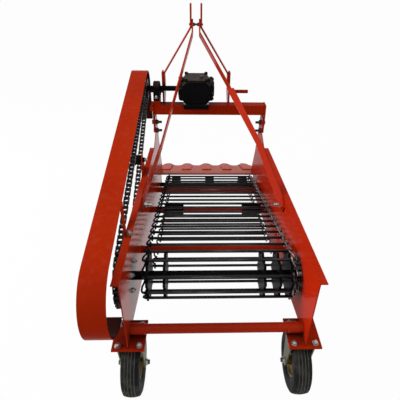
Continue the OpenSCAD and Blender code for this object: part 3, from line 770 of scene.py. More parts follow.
@dataclass
class Fasteners:
    """Hex bolts, nuts and washers, collected by finish into joined pieces."""

    name: str
    finish: Finish
    shape: Shape = field(default_factory=Shape)
    seed: int = 7
    # Shares of the thread's diameter
    washer_height: float = 0.16
    washer_radius: float = 1.08
    head_height: float = 0.68
    head_radius: float = 0.88
    head_edge: float = 0.09
    ridge: float = 0.14
    ridge_radii: Point2 = (0.43, 0.5)

    def __post_init__(self) -> None:
        """Starts the turn of the heads."""
        self.turns = random.Random(self.seed)

    def bolt(self, at: Vector, axis: Vector, size: float, stub: float = 0.0, washer: bool = True) -> None:
        """Adds a washer and a hex head or nut, with the thread's end on a nut.

        Args:
            at: The point on the surface under the washer.
            axis: The direction out of the surface.
            size: Diameter of the thread.
            stub: Length of thread that stands out of the nut.
            washer: Whether a washer lies under the head.
        """
        place = facing(at, axis)
        base = self.washer_height * size if washer else 0.0
        if washer:
            rim = self.washer_radius * size
            self.shape.disc([(rim, 0), (rim, base * 0.7), (rim - base * 0.3, base)], place, 20)
        top = base + self.head_height * size
        outline = ring(self.head_radius * size, 6, self.turns.uniform(0, math.tau))
        self.shape.prism(outline, base, top, place, self.head_edge * size)
        if stub:
            ridge = self.ridge * size
            count = max(2, round(stub / ridge))
            rows = range(count + 2)
            profile = [(size * self.ridge_radii[k % 2], top - ridge + k * stub / count) for k in rows]
            self.shape.disc(profile, place, 12)

    def build(self) -> None:
        """Makes the collected fasteners one piece."""
        self.shape.build(self.name, Body.FRAME, self.finish)


@dataclass
class Welds:
    """Painted weld beads along the joints of the frame."""

    radius: float = 3.2 * MM
    ripple: float = 0.16
    end: float = 0.4
    step: float = 5 * MM
    shape: Shape = field(default_factory=Shape)
    seed: int = 11

    def __post_init__(self) -> None:
        """Starts the ripple of the beads."""
        self.chance = random.Random(self.seed)

    def _sizes(self, count: int) -> list[float]:
        """Rippled radii along a bead, one for each point."""
        return [self.radius * (1 + self.chance.uniform(-self.ripple, self.ripple)) for _ in range(count)]

    def line(self, start: Vector, end: Vector) -> None:
        """Adds a straight bead.

        Args:
            start: Its first point.
            end: Its last point.
        """
        count = max(3, round((end - start).length / self.step))
        path = [start.lerp(end, k / count) for k in range(count + 1)]
        sizes = self._sizes(count + 1)
        sizes[0] *= self.end
        sizes[-1] *= self.end
        self.shape.tube(path, sizes, 6)

    def ring(self, centre: Vector, axis: Vector, radius: float) -> None:
        """Adds a bead round a tube's end.

        Args:
            centre: The ring's middle.
            axis: The tube's direction.
            radius: The tube's radius.
        """
        place = facing(centre, axis)
        count = max(12, round(math.tau * radius / self.step))
        path = [place @ Vector((x, y, 0)) for x, y in ring(radius, count)]
        self.shape.tube(path, self._sizes(count), 6, loop=True)

    def build(self) -> None:
        """Makes the collected beads one piece."""
        self.shape.build("weld_beads", Body.FRAME, WELD)


@dataclass
class Loop:
    """A belt's path round two circles in the Y and Z plane."""

    rear: Vector
    rear_radius: float
    front: Vector
    front_radius: float

    def __post_init__(self) -> None:
        """Works out the directions, the runs and the whole length."""
        gap = self.front - self.rear
        self.heading = math.atan2(gap.y, gap.x)
        self.opening = math.acos((self.rear_radius - self.front_radius) / gap.length)
        self.run = gap.length * math.sin(self.opening)
        self.front_arc = self.front_radius * 2 * self.opening
        self.rear_arc = self.rear_radius * (math.tau - 2 * self.opening)
        self.length = 2 * self.run + self.front_arc + self.rear_arc

    def at(self, distance: float) -> Vector:
        """The point at a distance along the path, from the rear end of the upper run.

        Args:
            distance: Distance along the path.

        Returns:
            The point's Y and Z.
        """
        s = distance % self.length
        upper, lower = self.heading + self.opening, self.heading - self.opening
        if s < self.run:
            return self._on(upper, s / self.run)
        s -= self.run
        if s < self.front_arc:
            return self.front + self._polar(self.front_radius, upper - s / self.front_radius)
        s -= self.front_arc
        if s < self.run:
            return self._on(lower, 1 - s / self.run)
        s -= self.run
        return self.rear + self._polar(self.rear_radius, lower - s / self.rear_radius)

    def _polar(self, radius: float, angle: float) -> Vector:
        """A vector of a length and direction."""
        return Vector((radius * math.cos(angle), radius * math.sin(angle)))

    def _on(self, angle: float, share: float) -> Vector:
        """A point on the straight run that touches both circles at an angle, at a share of the run."""
        start = self.rear + self._polar(self.rear_radius, angle)
        return start.lerp(self.front + self._polar(self.front_radius, angle), share)


def span(node: str) -> tuple[Vector, Vector, Vector]:
    """The lowest corner, the highest corner and the middle of a node's box."""
    low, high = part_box(node)
    return low, high, (low + high) / 2


def at_x(x: float, point: Vector) -> Vector:
    """A point moved along X to another place."""
    return Vector((x, point.y, point.z))


def side_view(point: Vector) -> Vector:
    """The Y and Z of a point."""
    return Vector((point.y, point.z))


@dataclass
class ChainDrive:
    """Roller chain, its two toothed sprockets and the drum of its tensioner."""

    pitch: float = 25.4 * MM
    plate_height: float = 18 * MM
    plate_thickness: float = 3.0 * MM
    plate_waist: float = 0.78
    play: float = 0.4 * MM
    inner_gap: float = 10.4 * MM
    roller_radius: float = 7.7 * MM
    pin_radius: float = 4.2 * MM
    pin_tip: float = 0.8
    pin_chamfer: float = 0.8 * MM
    driven_teeth: int = 30
    driver_teeth: int = 11
    tooth_width: float = 9 * MM
    tooth_rise: float = 5 * MM
    tooth_round: float = 1 * MM
    root_play: float = 0.3 * MM
    driven_hub: float = 35 * MM
    driver_hub: float = 27 * MM
    hub_edge: float = 1.5 * MM
    web_from: float = 3.0
    # Distances inside the teeth's root
    lip_in: Point2 = (12 * MM, 20 * MM)
    lip_rise: float = 3 * MM
    bosses: int = 6
    boss_ring: float = 0.6
    boss_radius: float = 11 * MM
    boss_rise: float = 2 * MM
    drum_width: float = 20 * MM
    drum_gap: float = 2 * MM
    drum_lip: float = 4 * MM
    drum_edge: float = 3 * MM
    drum_round: float = 1 * MM

    def __post_init__(self) -> None:
        """Takes the chain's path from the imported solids."""
        low, high, middle = span("drive_chain")
        self.driven = span("drive_bearing_left")[2]
        self.driver = span("output_shaft")[2]
        self.driven_radius = self.pitch * self.driven_teeth / math.tau
        self.driver_radius = self.pitch * self.driver_teeth / math.tau
        self.x = middle.x
        self.width = high.x - low.x
        ends = side_view(self.driven), self.driven_radius, side_view(self.driver), self.driver_radius
        self.loop = Loop(*ends)
        self.links = 2 * round(self.loop.length / self.pitch / 2)

    def build(self) -> None:
        """Builds the chain, both sprockets and the drum."""
        self._chain()
        self._sprocket("driven_sprocket", self.driven, self.driven_radius, self.driven_hub)
        self._sprocket("driver_sprocket", self.driver, self.driver_radius, self.driver_hub)
        self._tensioner()

    def pin(self, k: int) -> Vector:
        """The Y and Z of the chain pin with a number."""
        return self.loop.at(k * self.loop.length / self.links)

    def _link_outline(self, reach: float, radius: float) -> list[Point2]:
        """A link plate's outline: two round ends and a waist.

        Args:
            reach: Half of the distance between its pins.
            radius: Radius of its ends.

        Returns:
            The corners, counter-clockwise.
        """
        bow = [math.radians(a) for a in range(-75, 76, 30)]
        right = [(reach + radius * math.cos(a), radius * math.sin(a)) for a in bow]
        left = [(-x, -y) for x, y in right]
        waist = radius * self.plate_waist
        return [*right, (0, waist), *left, (0, -waist)]

    def _chain(self) -> None:
        """Adds plates, rollers and pins round the loop."""
        shape = Shape()
        radius = self.plate_height / 2
        half_pin = self.width / 2
        thin = self.pin_tip * self.pin_radius
        for k in range(self.links):
            start, end = self.pin(k), self.pin(k + 1)
            gap = end - start
            middle = (start + end) / 2
            place = across(self.x, middle.x, middle.y, Vector((0, gap.x, gap.y)))
            outline = self._link_outline(gap.length / 2, radius)
            low = self.inner_gap / 2 + (self.plate_thickness + self.play) * (k % 2)
            for side in (-1, 1):
                ends = sorted((side * low, side * (low + self.plate_thickness)))
                shape.prism(outline, ends[0], ends[1], place)
            seat = across(self.x, start.x, start.y, Y_AXIS)
            roll = self.inner_gap / 2 - self.play
            shape.disc([(self.roller_radius, -roll), (self.roller_radius, roll)], seat, 12)
            tip = [(thin, -half_pin), (self.pin_radius, self.pin_chamfer - half_pin)]
            shape.disc(tip + [(r, -z) for r, z in reversed(tip)], seat, 8)
        shape.build("roller_chain", Body.FRAME, CHAIN, ["drive_chain"])

    def _sprocket(self, node: str, centre: Vector, radius: float, hub_radius: float) -> None:
        """Adds a toothed wheel with a hub, and a lip and bosses on a wide one's web.

        Args:
            node: The node that it stands for.
            centre: Its centre.
            radius: Its pitch radius.
            hub_radius: Radius of its hub.
        """
        shape = Shape()
        place = across(self.x, centre.y, centre.z, Y_AXIS)
        half = self.tooth_width / 2
        root = radius - self.roller_radius - self.root_play
        shape.prism(self._teeth(centre, radius, root), -half, half, place)
        low, high, _ = span(node)
        hub = (high.x - low.x) / 2
        edge = self.hub_edge
        profile = [(hub_radius - edge, -hub), (hub_radius, edge - hub), (hub_radius, hub - edge)]
        shape.disc([*profile, (hub_radius - edge, hub)], place, 32)
        if radius > self.web_from * hub_radius:
            outer, inner = (root - depth for depth in self.lip_in)
            top = half + self.lip_rise
            shape.lathe([(outer, half), (outer, top), (inner, top), (inner, half)], place, 48)
            reach = half + self.boss_rise
            for x, y in ring(self.boss_ring * radius, self.bosses):
                spot = place @ Vector((x, y, 0))
                shape.disc([(self.boss_radius, -reach), (self.boss_radius, reach)], facing(spot, X_AXIS), 16)
        shape.build(f"toothed_{node}", Body.FRAME, BLACK, [node])

    def _teeth(self, centre: Vector, radius: float, root: float) -> list[Point2]:
        """A sprocket's outline, with a gap of its teeth at a pin of the chain.

        Args:
            centre: Its centre.
            radius: Its pitch radius.
            root: Radius between its teeth.

        Returns:
            The corners, counter-clockwise.
        """
        pins = (self.pin(k) for k in range(self.links))
        near = min(pins, key=lambda pin: self._off_arc(pin, centre, radius))
        turn = math.atan2(near.y - centre.z, near.x - centre.y)
        tooth = [(0.0, root), (0.17, root + self.tooth_round)]
        tooth += [(0.3, radius - self.tooth_round), (0.42, radius + self.tooth_rise)]
        tooth += [(1 - share, r) for share, r in reversed(tooth[1:])]
        return toothed(tooth, round(math.tau * radius / self.pitch), turn)

    def _off_arc(self, pin: Vector, centre: Vector, radius: float) -> float:
        """How far a pin lies from a sprocket's pitch circle."""
        return abs((pin - side_view(centre)).length - radius)

    def _tensioner(self) -> None:
        """Adds a drum to the tensioner's roller, on the outer side of the chain."""
        low, high, middle = span("tensioner_roller")
        lip = (high.z - low.z) / 2 + self.drum_lip
        base = lip - self.drum_edge
        start = -self.width / 2 - self.drum_width - self.drum_gap
        end = start + self.drum_width
        turn = self.drum_round
        shape = Shape()
        place = across(self.x, middle.y, middle.z, Y_AXIS)
        shape.disc([(base, start), (lip, start + 2 * turn), (lip, end - turn), (base, end + turn)], place, 32)
        shape.build("tensioner_drum", Body.FRAME, BLACK)


@dataclass
class RodWeb:
    """The conveyor's rods with a hook at each end that holds the next rod."""

    rear_radius: float = 88 * MM
    front_radius: float = 60 * MM
    pitch: float = 68 * MM
    rod_radius: float = 6 * MM
    rod_tip: float = 0.75
    # Distances inside the web's ends
    tip_in: Point2 = (8 * MM, 12 * MM)
    wire_radius: float = 4.0 * MM
    root_in: Point2 = (18 * MM, 9 * MM)
    # Distance inside the web's ends, share of the way to the next rod
    bend: Profile = ((5 * MM, 0.05), (4 * MM, 0.16), (7 * MM, 0.42), (15 * MM, 0.66))
    bend_lift: float = 0.9
    eye_in: float = 21 * MM
    eye_angles: range = range(-20, 245, 33)

    def __post_init__(self) -> None:
        """Takes the web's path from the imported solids."""
        low, high, _ = span("conveyor_web")
        self.left, self.right = low.x, high.x
        drive = span("drive_bearing_left")[2]
        idler = span("front_idler")[2]
        self.loop = Loop(side_view(drive), self.rear_radius, side_view(idler), self.front_radius)
        self.rods = round(self.loop.length / self.pitch)

    def centre(self, k: int) -> Vector:
        """The Y and Z of the rod with a number."""
        return self.loop.at((k + 0.5) * self.loop.length / self.rods)

    def build(self) -> None:
        """Builds the rods and the two rows of hooks."""
        rods = Shape()
        tip, full = self.tip_in
        ends = [self.left + tip, self.left + full, self.right - full, self.right - tip]
        thin = self.rod_tip * self.rod_radius
        sizes = [thin, self.rod_radius, self.rod_radius, thin]
        for k in range(self.rods):
            c = self.centre(k)
            rods.tube([Vector((x, c.x, c.y)) for x in ends], sizes, 12)
        rods.build("web_rods", Body.FRAME, ROD, ["conveyor_web"])
        self._hooks(Side.LEFT, BLACK)
        self._hooks(Side.RIGHT, HOOK)

    def _hooks(self, side: Side, finish: Finish) -> None:
        """Adds the hooks of one side.

        Args:
            side: The side.
            finish: The hooks' finish.
        """
        shape = Shape()
        reach = self.rod_radius + self.wire_radius
        for k in range(self.rods):
            here, ahead = self.centre(k), self.centre(k + 1)
            run = (ahead - here).normalized()
            out = Vector((-run.y, run.x))
            path = [self._point(side, inward, here) for inward in self.root_in]
            for inward, share in self.bend:
                spot = here.lerp(ahead, share) + out * (share * self.bend_lift * self.rod_radius)
                path.append(self._point(side, inward, spot))
            for angle in map(math.radians, self.eye_angles):
                spot = ahead + out * (reach * math.cos(angle)) + run * (reach * math.sin(angle))
                path.append(self._point(side, self.eye_in, spot))
            shape.tube(path, self.wire_radius, 8)
        shape.build(f"web_hooks_{side.word}", Body.FRAME, finish)

    def _point(self, side: Side, inward: float, spot: Vector) -> Vector:
        """A point at a distance inside the web's end on a side."""
        end = self.left if side is Side.LEFT else self.right
        return Vector((end - side.value * inward, spot.x, spot.y))


@dataclass
class Caster:
    """One caster: grooved tyre, pressed rim, axle nuts and the foot plate's bolts."""

    side: Side
    ribs: int = 5
    groove: float = 3.4 * MM
    groove_depth: float = 3.0 * MM
    groove_draft: float = 0.4 * MM
    tread: float = 0.8
    crown: float = 7 * MM
    bead_gap: float = 0.3 * MM
    # Share of the wall's rise, share of the half width
    wall: Profile = (
        (0.0, 0.72), (0.05, 0.80), (0.16, 0.92), (0.20, 0.93), (0.24, 0.96), (0.42, 1.0),
        (0.6, 0.995), (0.72, 0.97), (0.74, 0.985), (0.79, 0.975), (0.81, 0.94), (0.9, 0.87),
    )
    hub: float = 19 * MM
    bore: float = 8.2 * MM
    web: float = 6 * MM
    sheet: float = 6 * MM
    # Distance outside the hub, height
    flat: Point2 = (14 * MM, -4 * MM)
    # Distance inside the rim's edge, height
    well: Point2 = (24 * MM, -10 * MM)
    roll: float = 10 * MM
    flange: float = 5 * MM
    # Distances from the rim's edge and from its lip
    seat: Point2 = (3 * MM, 8 * MM)
    lip: float = 0.72
    bolts: int = 5
    bolt_ring: float = 9 * MM
    bolt_turn: float = 0.3
    bolt_seat: float = 4.5 * MM
    bolt: Thread = (6 * MM, 2 * MM)
    # Half distances along X and Y
    plate_bolts: Point2 = (40 * MM, 49 * MM)
    plate_bolt: Thread = (11 * MM, 5 * MM)
    axle_nut: float = 11 * MM

    def __post_init__(self) -> None:
        """Takes the wheel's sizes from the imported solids."""
        low, high, self.centre = span(f"tyre_{self.side.word}")
        self.radius = (high.z - low.z) / 2
        self.half = (high.x - low.x) / 2
        rim_low, rim_high, _ = span(f"rim_{self.side.word}")
        self.rim_radius = (rim_high.z - rim_low.z) / 2
        self.hub_half = (rim_high.x - rim_low.x) / 2
        self.body = Body(f"wheel_{self.side.word}")
        self.place = facing(self.centre, X_AXIS)

    def build(self) -> None:
        """Builds the tyre and the rim."""
        self._tyre()
        self._rim()

    def _tyre(self) -> None:
        """Adds the tyre with ribs round its tread and a ridge on each wall."""
        tread = self.tread * self.half
        rib = (2 * tread - (self.ribs - 1) * self.groove) / self.ribs
        crown = []
        for k in range(self.ribs):
            start = -tread + k * (rib + self.groove)
            top = [self._crown(z) for z in (start, start + rib)]
            crown += [(top[0], start), (top[1], start + rib)]
            if k < self.ribs - 1:
                foot = min(top) - self.groove_depth
                crown.append((foot, start + rib + self.groove_draft))
                crown.append((foot, start + rib + self.groove - self.groove_draft))
        bead = self.rim_radius + self.bead_gap
        rise = self.radius - bead
        wall = [(bead + up * rise, out * self.half) for up, out in self.wall]
        shape = Shape()
        shape.lathe([(r, -z) for r, z in wall] + crown + wall[::-1], self.place, 96)
        shape.build(f"grooved_tyre_{self.side.word}", self.body, TYRE, [f"tyre_{self.side.word}"])

    def _crown(self, z: float) -> float:
        """Radius of the tread's rounded crown at a distance from its middle."""
        return self.radius - self.crown * (abs(z) / self.half) ** 2

    def _rim(self) -> None:
        """Adds the rim: two lips, a dished disc, a hub and bolts."""
        edge, lip, hub = self.rim_radius, self.lip * self.half, self.hub
        flat, dish = hub + self.flat[0], self.flat[1]
        step, well = edge - self.well[0], self.well[1]
        roll, flange, seat = edge - self.roll, edge - self.flange, edge - self.seat[0]
        profile = [
            (self.bore, -self.hub_half), (hub, -self.hub_half), (hub, -self.web), (flat, dish), (step, well),
            (roll, -lip + self.roll), (flange, -lip), (edge, -lip), (seat, -lip + self.seat[1]),
            (seat, lip - self.seat[1]), (edge, lip), (flange, lip), (roll, lip - self.roll),
            (step, well + self.sheet), (flat, dish + self.sheet), (hub, self.web), (hub, self.hub_half),
            (self.bore, self.hub_half),
        ]
        shape = Shape()
        shape.lathe(profile, self.place, 64)
        bolts = Fasteners("rim_bolts", GOLD_ZINC, shape)
        for x, y in ring(hub + self.bolt_ring, self.bolts, self.bolt_turn):
            for sign in (-1, 1):
                spot = self.place @ Vector((x, y, sign * self.bolt_seat))
                bolts.bolt(spot, sign * X_AXIS, *self.bolt, washer=False)
        shape.build(f"pressed_rim_{self.side.word}", self.body, GOLD_ZINC, [f"rim_{self.side.word}"])

    def fasten(self, bright: Fasteners, zinc: Fasteners) -> None:
        """Adds the foot plate's bolts and the axle's nuts.

        Args:
            bright: The bright fasteners.
            zinc: The pale zinc fasteners.
        """
        _, high, middle = span(f"foot_plate_{self.side.word}")
        wide, long = self.plate_bolts
        for dx in (-wide, wide):
            for dy in (-long, long):
                bright.bolt(Vector((middle.x + dx, middle.y + dy, high.z)), Z_AXIS, *self.plate_bolt)
        axle_low, axle_high, axle = span(f"caster_axle_{self.side.word}")
        for x, sign in ((axle_low.x, -1), (axle_high.x, 1)):
            zinc.bolt(at_x(x, axle), sign * X_AXIS, self.axle_nut, washer=False)


@dataclass
class GearCasting:
    """The gearbox: octagonal casting, round side covers, top plate, plug, saddle and splined stub."""

    wall: float = 7 * MM
    cut: float = 24 * MM
    boss: float = 12 * MM
    tuck: float = 30 * MM
    plug_rise: float = 14 * MM
    taper: float = 5 * MM
    taper_run: float = 6 * MM
    case_drop: float = 3 * MM
    # Distances from the rear and from the front
    flange_in: Point2 = (18 * MM, 32 * MM)
    # Distances from the sides, the bottom and the top
    flange_edge: Point3 = (6 * MM, 4 * MM, 6 * MM)
    flange: Sheet = (14 * MM, 3 * MM)
    front_in: float = 4 * MM
    cover_in: float = 2 * MM
    lugs: int = 8
    lug_ring: float = 60 * MM
    lug_turn: float = 0.2
    lug_top: float = 17 * MM
    lug_bolt: float = 8 * MM
    # Radius, height
    front: Profile = in_mm((52, 0), (52, 9), (46, 13), (46, 16))
    cover: Profile = in_mm((68, 0), (68, 10), (64, 14))
    cap: Profile = in_mm((46, 10), (46, 22), (42, 26))
    lug: Profile = in_mm((12, 0), (12, 15), (10, 17))
    corner: Profile = in_mm((10, -8), (10, 6), (8, 8))
    plug: Profile = in_mm((15, -1), (15, 2), (13, 3))
    plate_in: float = 2 * MM
    plate_ends: float = 4 * MM
    plate: Sheet = (6 * MM, 2 * MM)
    # Distances from the plate's sides and from the case's ends
    corner_in: Point2 = (4 * MM, 14 * MM)
    # Share of the half width, distance behind the shaft
    plug_at: Point2 = (0.5, 20 * MM)
    plug_seat: float = 2.5 * MM
    plug_head: float = 12 * MM
    saddle_past: float = 6 * MM
    saddle_drop: float = 44 * MM
    saddle_cut: float = 10 * MM
    saddle_sheet: Sheet = (6 * MM, 1.5 * MM)
    bar: float = 32 * MM
    bar_past: float = 4 * MM
    # Distances behind and ahead of the beam's rear face
    bar_depth: Point2 = (28 * MM, 10 * MM)
    bar_edge: float = 5 * MM
    # Distances from the foot's sides and behind the beam
    bar_bolt_in: Point2 = (6 * MM, 17 * MM)
    bar_bolt: Thread = (11 * MM, 4 * MM)
    splines: int = 6
    spline_from: float = 16 * MM
    spline_edge: float = 1.2 * MM
    spline_root: float = 0.82
    # Heights of the collar, the step and the groove
    neck: Point3 = (8 * MM, 9 * MM, 14 * MM)
    # Share of the root's radius, height
    neck_end: Point2 = (0.98, 17 * MM)

    def __post_init__(self) -> None:
        """Takes the casting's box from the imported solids."""
        self.low, self.high, self.middle = span("gearbox")
        self.axis_z = span("output_shaft")[2].z
        self.axis_y = span("output_shaft")[2].y
        self.top = self.high.z - self.plug_rise
        self.half = (self.high.x - self.low.x) / 2 - self.boss
        self.depth = self.axis_y - self.low.y

    def build(self, dark: Fasteners, bright: Fasteners) -> None:
        """Builds the casting, the saddle, the foot's bar and the stub.

        Args:
            dark: The dark fasteners.
            bright: The bright fasteners.
        """
        shape = Shape()
        self._case(shape)
        self._covers(shape, dark)
        self._top_plate(shape, dark)
        shape.build("gear_casting", Body.FRAME, CAST_BLACK, ["gearbox"])
        self._saddle()
        self._foot_bar(bright)
        self._stub()

    def _saddle(self) -> None:
        """Adds the red saddle plate behind the foot, on the beam."""
        low, high, middle = span("gearbox_foot")
        beam_low, beam_high, _ = span("cross_beam")
        half = (high.x - low.x) / 2 + self.saddle_past
        drop, edge = self.saddle_drop, self.saddle_cut
        outline = [(-half + edge, -drop), (half - edge, -drop), (half, edge - drop), (half, 0), (-half, 0)]
        outline.append((-half, edge - drop))
        sheet, chamfer = self.saddle_sheet
        shape = Shape()
        shape.prism(outline, 0, sheet, upright(middle.x, beam_low.y, beam_high.z), chamfer)
        shape.build("gear_saddle", Body.FRAME, RED)

    def _foot_bar(self, bright: Fasteners) -> None:
        """Adds the bar across the foot and its bolts.

        Args:
            bright: The bright fasteners.
        """
        low, high, _ = span("gearbox_foot")
        face = span("cross_beam")[0].y
        behind, ahead = self.bar_depth
        shape = Shape()
        shape.block(
            Vector((low.x - self.bar_past, face - behind, high.z - self.bar)),
            Vector((high.x + self.bar_past, face + ahead, high.z)),
            self.bar_edge,
        )
        shape.build("gear_foot_bar", Body.FRAME, CAST_BLACK)
        inward, back = self.bar_bolt_in
        for x in (low.x + inward, high.x - inward):
            bright.bolt(Vector((x, face - back, high.z)), Z_AXIS, *self.bar_bolt)

    def _octagon(self, half: float, low: float, high: float) -> list[Point2]:
        """An upright octagon about the gearbox's middle.

        Args:
            half: Half of its width.
            low: Height of its lower edge.
            high: Height of its upper edge.

        Returns:
            Its corners in X and Z.
        """
        cut = self.cut
        return [
            (-half + cut, low), (half - cut, low), (half, low + cut), (half, high - cut),
            (half - cut, high), (-half + cut, high), (-half, high - cut), (-half, low + cut),
        ]

    def _case(self, shape: Shape) -> None:
        """Adds the case, two flanges round it and its front boss.

        Args:
            shape: The casting.
        """
        place = upright(self.middle.x, self.axis_y, 0)
        half, low, top = self.half - self.wall, self.low.z, self.top - self.case_drop
        slim, crest = half - self.taper, top - self.taper
        rows = [
            (self._octagon(slim, low, crest), -self.depth),
            (self._octagon(half, low, top), -self.depth + self.taper_run),
            (self._octagon(half, low, top), self.depth - self.tuck),
            (self._octagon(slim, low + self.tuck, crest), self.depth),
        ]
        shape.rings([[(x, y, z) for x, y in line] for line, z in rows], place)
        side, below, above = self.flange_edge
        rim = self._octagon(self.half - side, self.low.z + below, self.top - above)
        width, chamfer = self.flange
        for y in (-self.depth + self.flange_in[0], self.depth - self.flange_in[1]):
            shape.prism(rim, y, y + width, place, chamfer)
        front = Vector((self.middle.x, self.axis_y + self.depth - self.front_in, self.axis_z))
        shape.disc(self.front, facing(front, Y_AXIS), 40)

    def _covers(self, shape: Shape, dark: Fasteners) -> None:
        """Adds a round cover with lugs and bolts on each side.

        Args:
            shape: The casting.
            dark: The dark fasteners.
        """
        for sign in (-1, 1):
            axis = sign * X_AXIS
            face = self.half - self.wall - self.cover_in
            place = facing(Vector((self.middle.x + sign * face, self.axis_y, self.axis_z)), axis)
            shape.disc(self.cover, place, 40)
            shape.disc(self.cap, place, 36)
            for x, y in ring(self.lug_ring, self.lugs, self.lug_turn):
                spot = place @ Vector((x, y, 0))
                shape.disc(self.lug, facing(spot, axis), 16)
                dark.bolt(spot + axis * self.lug_top, axis, self.lug_bolt)

    def _top_plate(self, shape: Shape, dark: Fasteners) -> None:
        """Adds the top plate with corner lugs and a filler plug.

        Args:
            shape: The casting.
            dark: The dark fasteners.
        """
        half = self.half - self.cut - self.plate_in
        thick, chamfer = self.plate
        low = Vector((self.middle.x - half, self.axis_y - self.depth + self.plate_ends, self.top - thick))
        high = Vector((self.middle.x + half, self.axis_y + self.depth - self.plate_ends, self.top))
        shape.block(low, high, chamfer)
        wide, long = half - self.corner_in[0], self.depth - self.corner_in[1]
        for dx in (-1, 1):
            for dy in (-1, 1):
                spot = Vector((self.middle.x + dx * wide, self.axis_y + dy * long, self.top))
                shape.disc(self.corner, facing(spot, Z_AXIS), 16)
        share, back = self.plug_at
        plug = Vector((self.middle.x + share * half, self.axis_y - back, self.top))
        shape.disc(self.plug, facing(plug, Z_AXIS), 24)
        dark.bolt(plug + Vector((0, 0, self.plug_seat)), Z_AXIS, self.plug_head, washer=False)

    def _stub(self) -> None:
        """Adds the splined stub for the tractor's shaft."""
        low, high, middle = span("pto_stub")
        radius = (high.x - low.x) / 2
        root = self.spline_root * radius
        tooth = [(-0.22, root), (-0.2, radius), (0.0, radius), (0.2, radius), (0.22, root), (0.5, root)]
        shape = Shape()
        place = facing(Vector((middle.x, low.y, middle.z)), Y_AXIS)
        outline = toothed(tooth, self.splines)
        shape.prism(outline, self.spline_from, high.y - low.y, place, self.spline_edge)
        collar, step, groove = self.neck
        share, end = self.neck_end
        neck = [(radius, 0), (radius, collar), (root, step), (root, groove), (share * root, end)]
        shape.disc(neck, place, 32)
        shape.build("splined_stub", Body.FRAME, STEEL, ["pto_stub"])


@dataclass
class Hitch:
    """Bolts, beads and strap of the mast, the braces and the brackets."""

    bolt: float = 7 * MM
    bolt_out: float = 34 * MM
    nut: float = 9 * MM
    nut_edge: float = 1 * MM
    rod: float = 0.6
    # Width, thickness
    strap: Point2 = (34 * MM, 5 * MM)
    # Shares of the strap's width along its path
    strap_shape: tuple[float, ...] = (0.5, 1.0, 0.9, 1.15)
    # Places from the right brace's outer, rear and lower corner
    bend: Point3 = (-74 * MM, 335 * MM, 187 * MM)
    strap_foot: Point3 = (-12 * MM, 6 * MM, 38 * MM)
    strap_tail: Point3 = (-24 * MM, 66 * MM, 70 * MM)
    # How far the strap runs past the bend, and its offsets from the brace
    lap: float = 345 * MM
    bend_off: Point3 = (-17 * MM, -12 * MM, 21 * MM)
    lap_off: Point3 = (-24 * MM, -14 * MM, 18 * MM)
    bead_from: float = 4 * MM
    bead: float = 60 * MM
    # Distances inside, ahead of and above a brace's lower end
    brace_in: Point3 = (10 * MM, 33 * MM, 33 * MM)
    brace_bolt: Thread = (17 * MM, 26 * MM)

    def fasten(self, bright: Fasteners, dark: Fasteners, welds: Welds) -> None:
        """Adds the hitch's fasteners, welds and strap.

        Args:
            bright: The bright fasteners.
            dark: The dark fasteners.
            welds: The weld beads.
        """
        spacer = span("mast_spacer")[2]
        for side in Side:
            outer = spacer.x + side.value * self.bolt_out
            dark.bolt(at_x(outer, spacer), side.value * X_AXIS, self.bolt, washer=False)
            self._foot(side, welds)
            self._brace(side, bright)
            self._pin(side, welds)
        self._spacer()
        self._strap()

    def _spacer(self) -> None:
        """Turns the bolt that runs between the masts' ears, with a nut against each brace."""
        low, high, middle = span("mast_spacer")
        radius = (high.z - low.z) / 2
        place = facing(at_x(low.x, middle), X_AXIS)
        length = high.x - low.x
        nut, edge, rod = self.nut, self.nut_edge, self.rod * radius
        profile = [(radius, 0), (radius, nut), (rod, nut + edge), (rod, length - nut - edge)]
        shape = Shape()
        shape.disc([*profile, (radius, length - nut), (radius, length)], place, 6)
        shape.build("mast_bolt", Body.FRAME, DARK_BOLT, ["mast_spacer"])

    def _strap(self) -> None:
        """Adds the flat strap that laps the right brace's bend and runs down to its lower bolt."""
        low, high, _ = span("brace_right")
        corner = Vector((high.x, low.y, low.z))
        foot, tail, bend = (corner + Vector(spot) for spot in (self.strap_foot, self.strap_tail, self.bend))
        lap = bend + self.lap * (Vector((low.x, high.y, high.z)) - bend).normalized()
        path = [foot, tail, bend + Vector(self.bend_off), lap + Vector(self.lap_off)]
        width, thick = self.strap
        rows = []
        for k, (spot, share) in enumerate(zip(path, self.strap_shape)):
            run = (path[min(k + 1, 3)] - path[max(k - 1, 0)]).normalized()
            under = run.cross(X_AXIS).normalized() * thick
            side = X_AXIS * width / 2 * share
            rows.append([spot + side + under, spot - side + under, spot - side, spot + side])
        shape = Shape()
        shape.rings(rows, Matrix.Identity(4))
        shape.build("brace_strap", Body.FRAME, STRAP)

    def _foot(self, side: Side, welds: Welds) -> None:
        """Adds the beads along a mast's foot on its bracket.

        Args:
            side: The side.
            welds: The weld beads.
        """
        low, high, _ = span(f"mast_{side.word}")
        face = side.inner(*span(f"hitch_bracket_{side.word}")[:2])
        for y in (low.y, high.y):
            start = Vector((face, y, low.z + self.bead_from))
            welds.line(start, start + self.bead * Z_AXIS)

    def _brace(self, side: Side, bright: Fasteners) -> None:
        """Adds the bolt that holds a brace's lower end to its side plate.

        Args:
            side: The side.
            bright: The bright fasteners.
        """
        low, high, _ = span(f"brace_{side.word}")
        inward, ahead, up = self.brace_in
        seat = Vector((side.outer(low, high) - side.value * inward, low.y + ahead, low.z + up))
        bright.bolt(seat, -side.value * X_AXIS, *self.brace_bolt, washer=False)

    def _pin(self, side: Side, welds: Welds) -> None:
        """Adds the bead round a side's lower pin, at its root."""
        low, high, middle = span(f"hitch_pin_{side.word}")
        welds.ring(at_x(side.inner(low, high), middle), X_AXIS, (high.z - low.z) / 2)


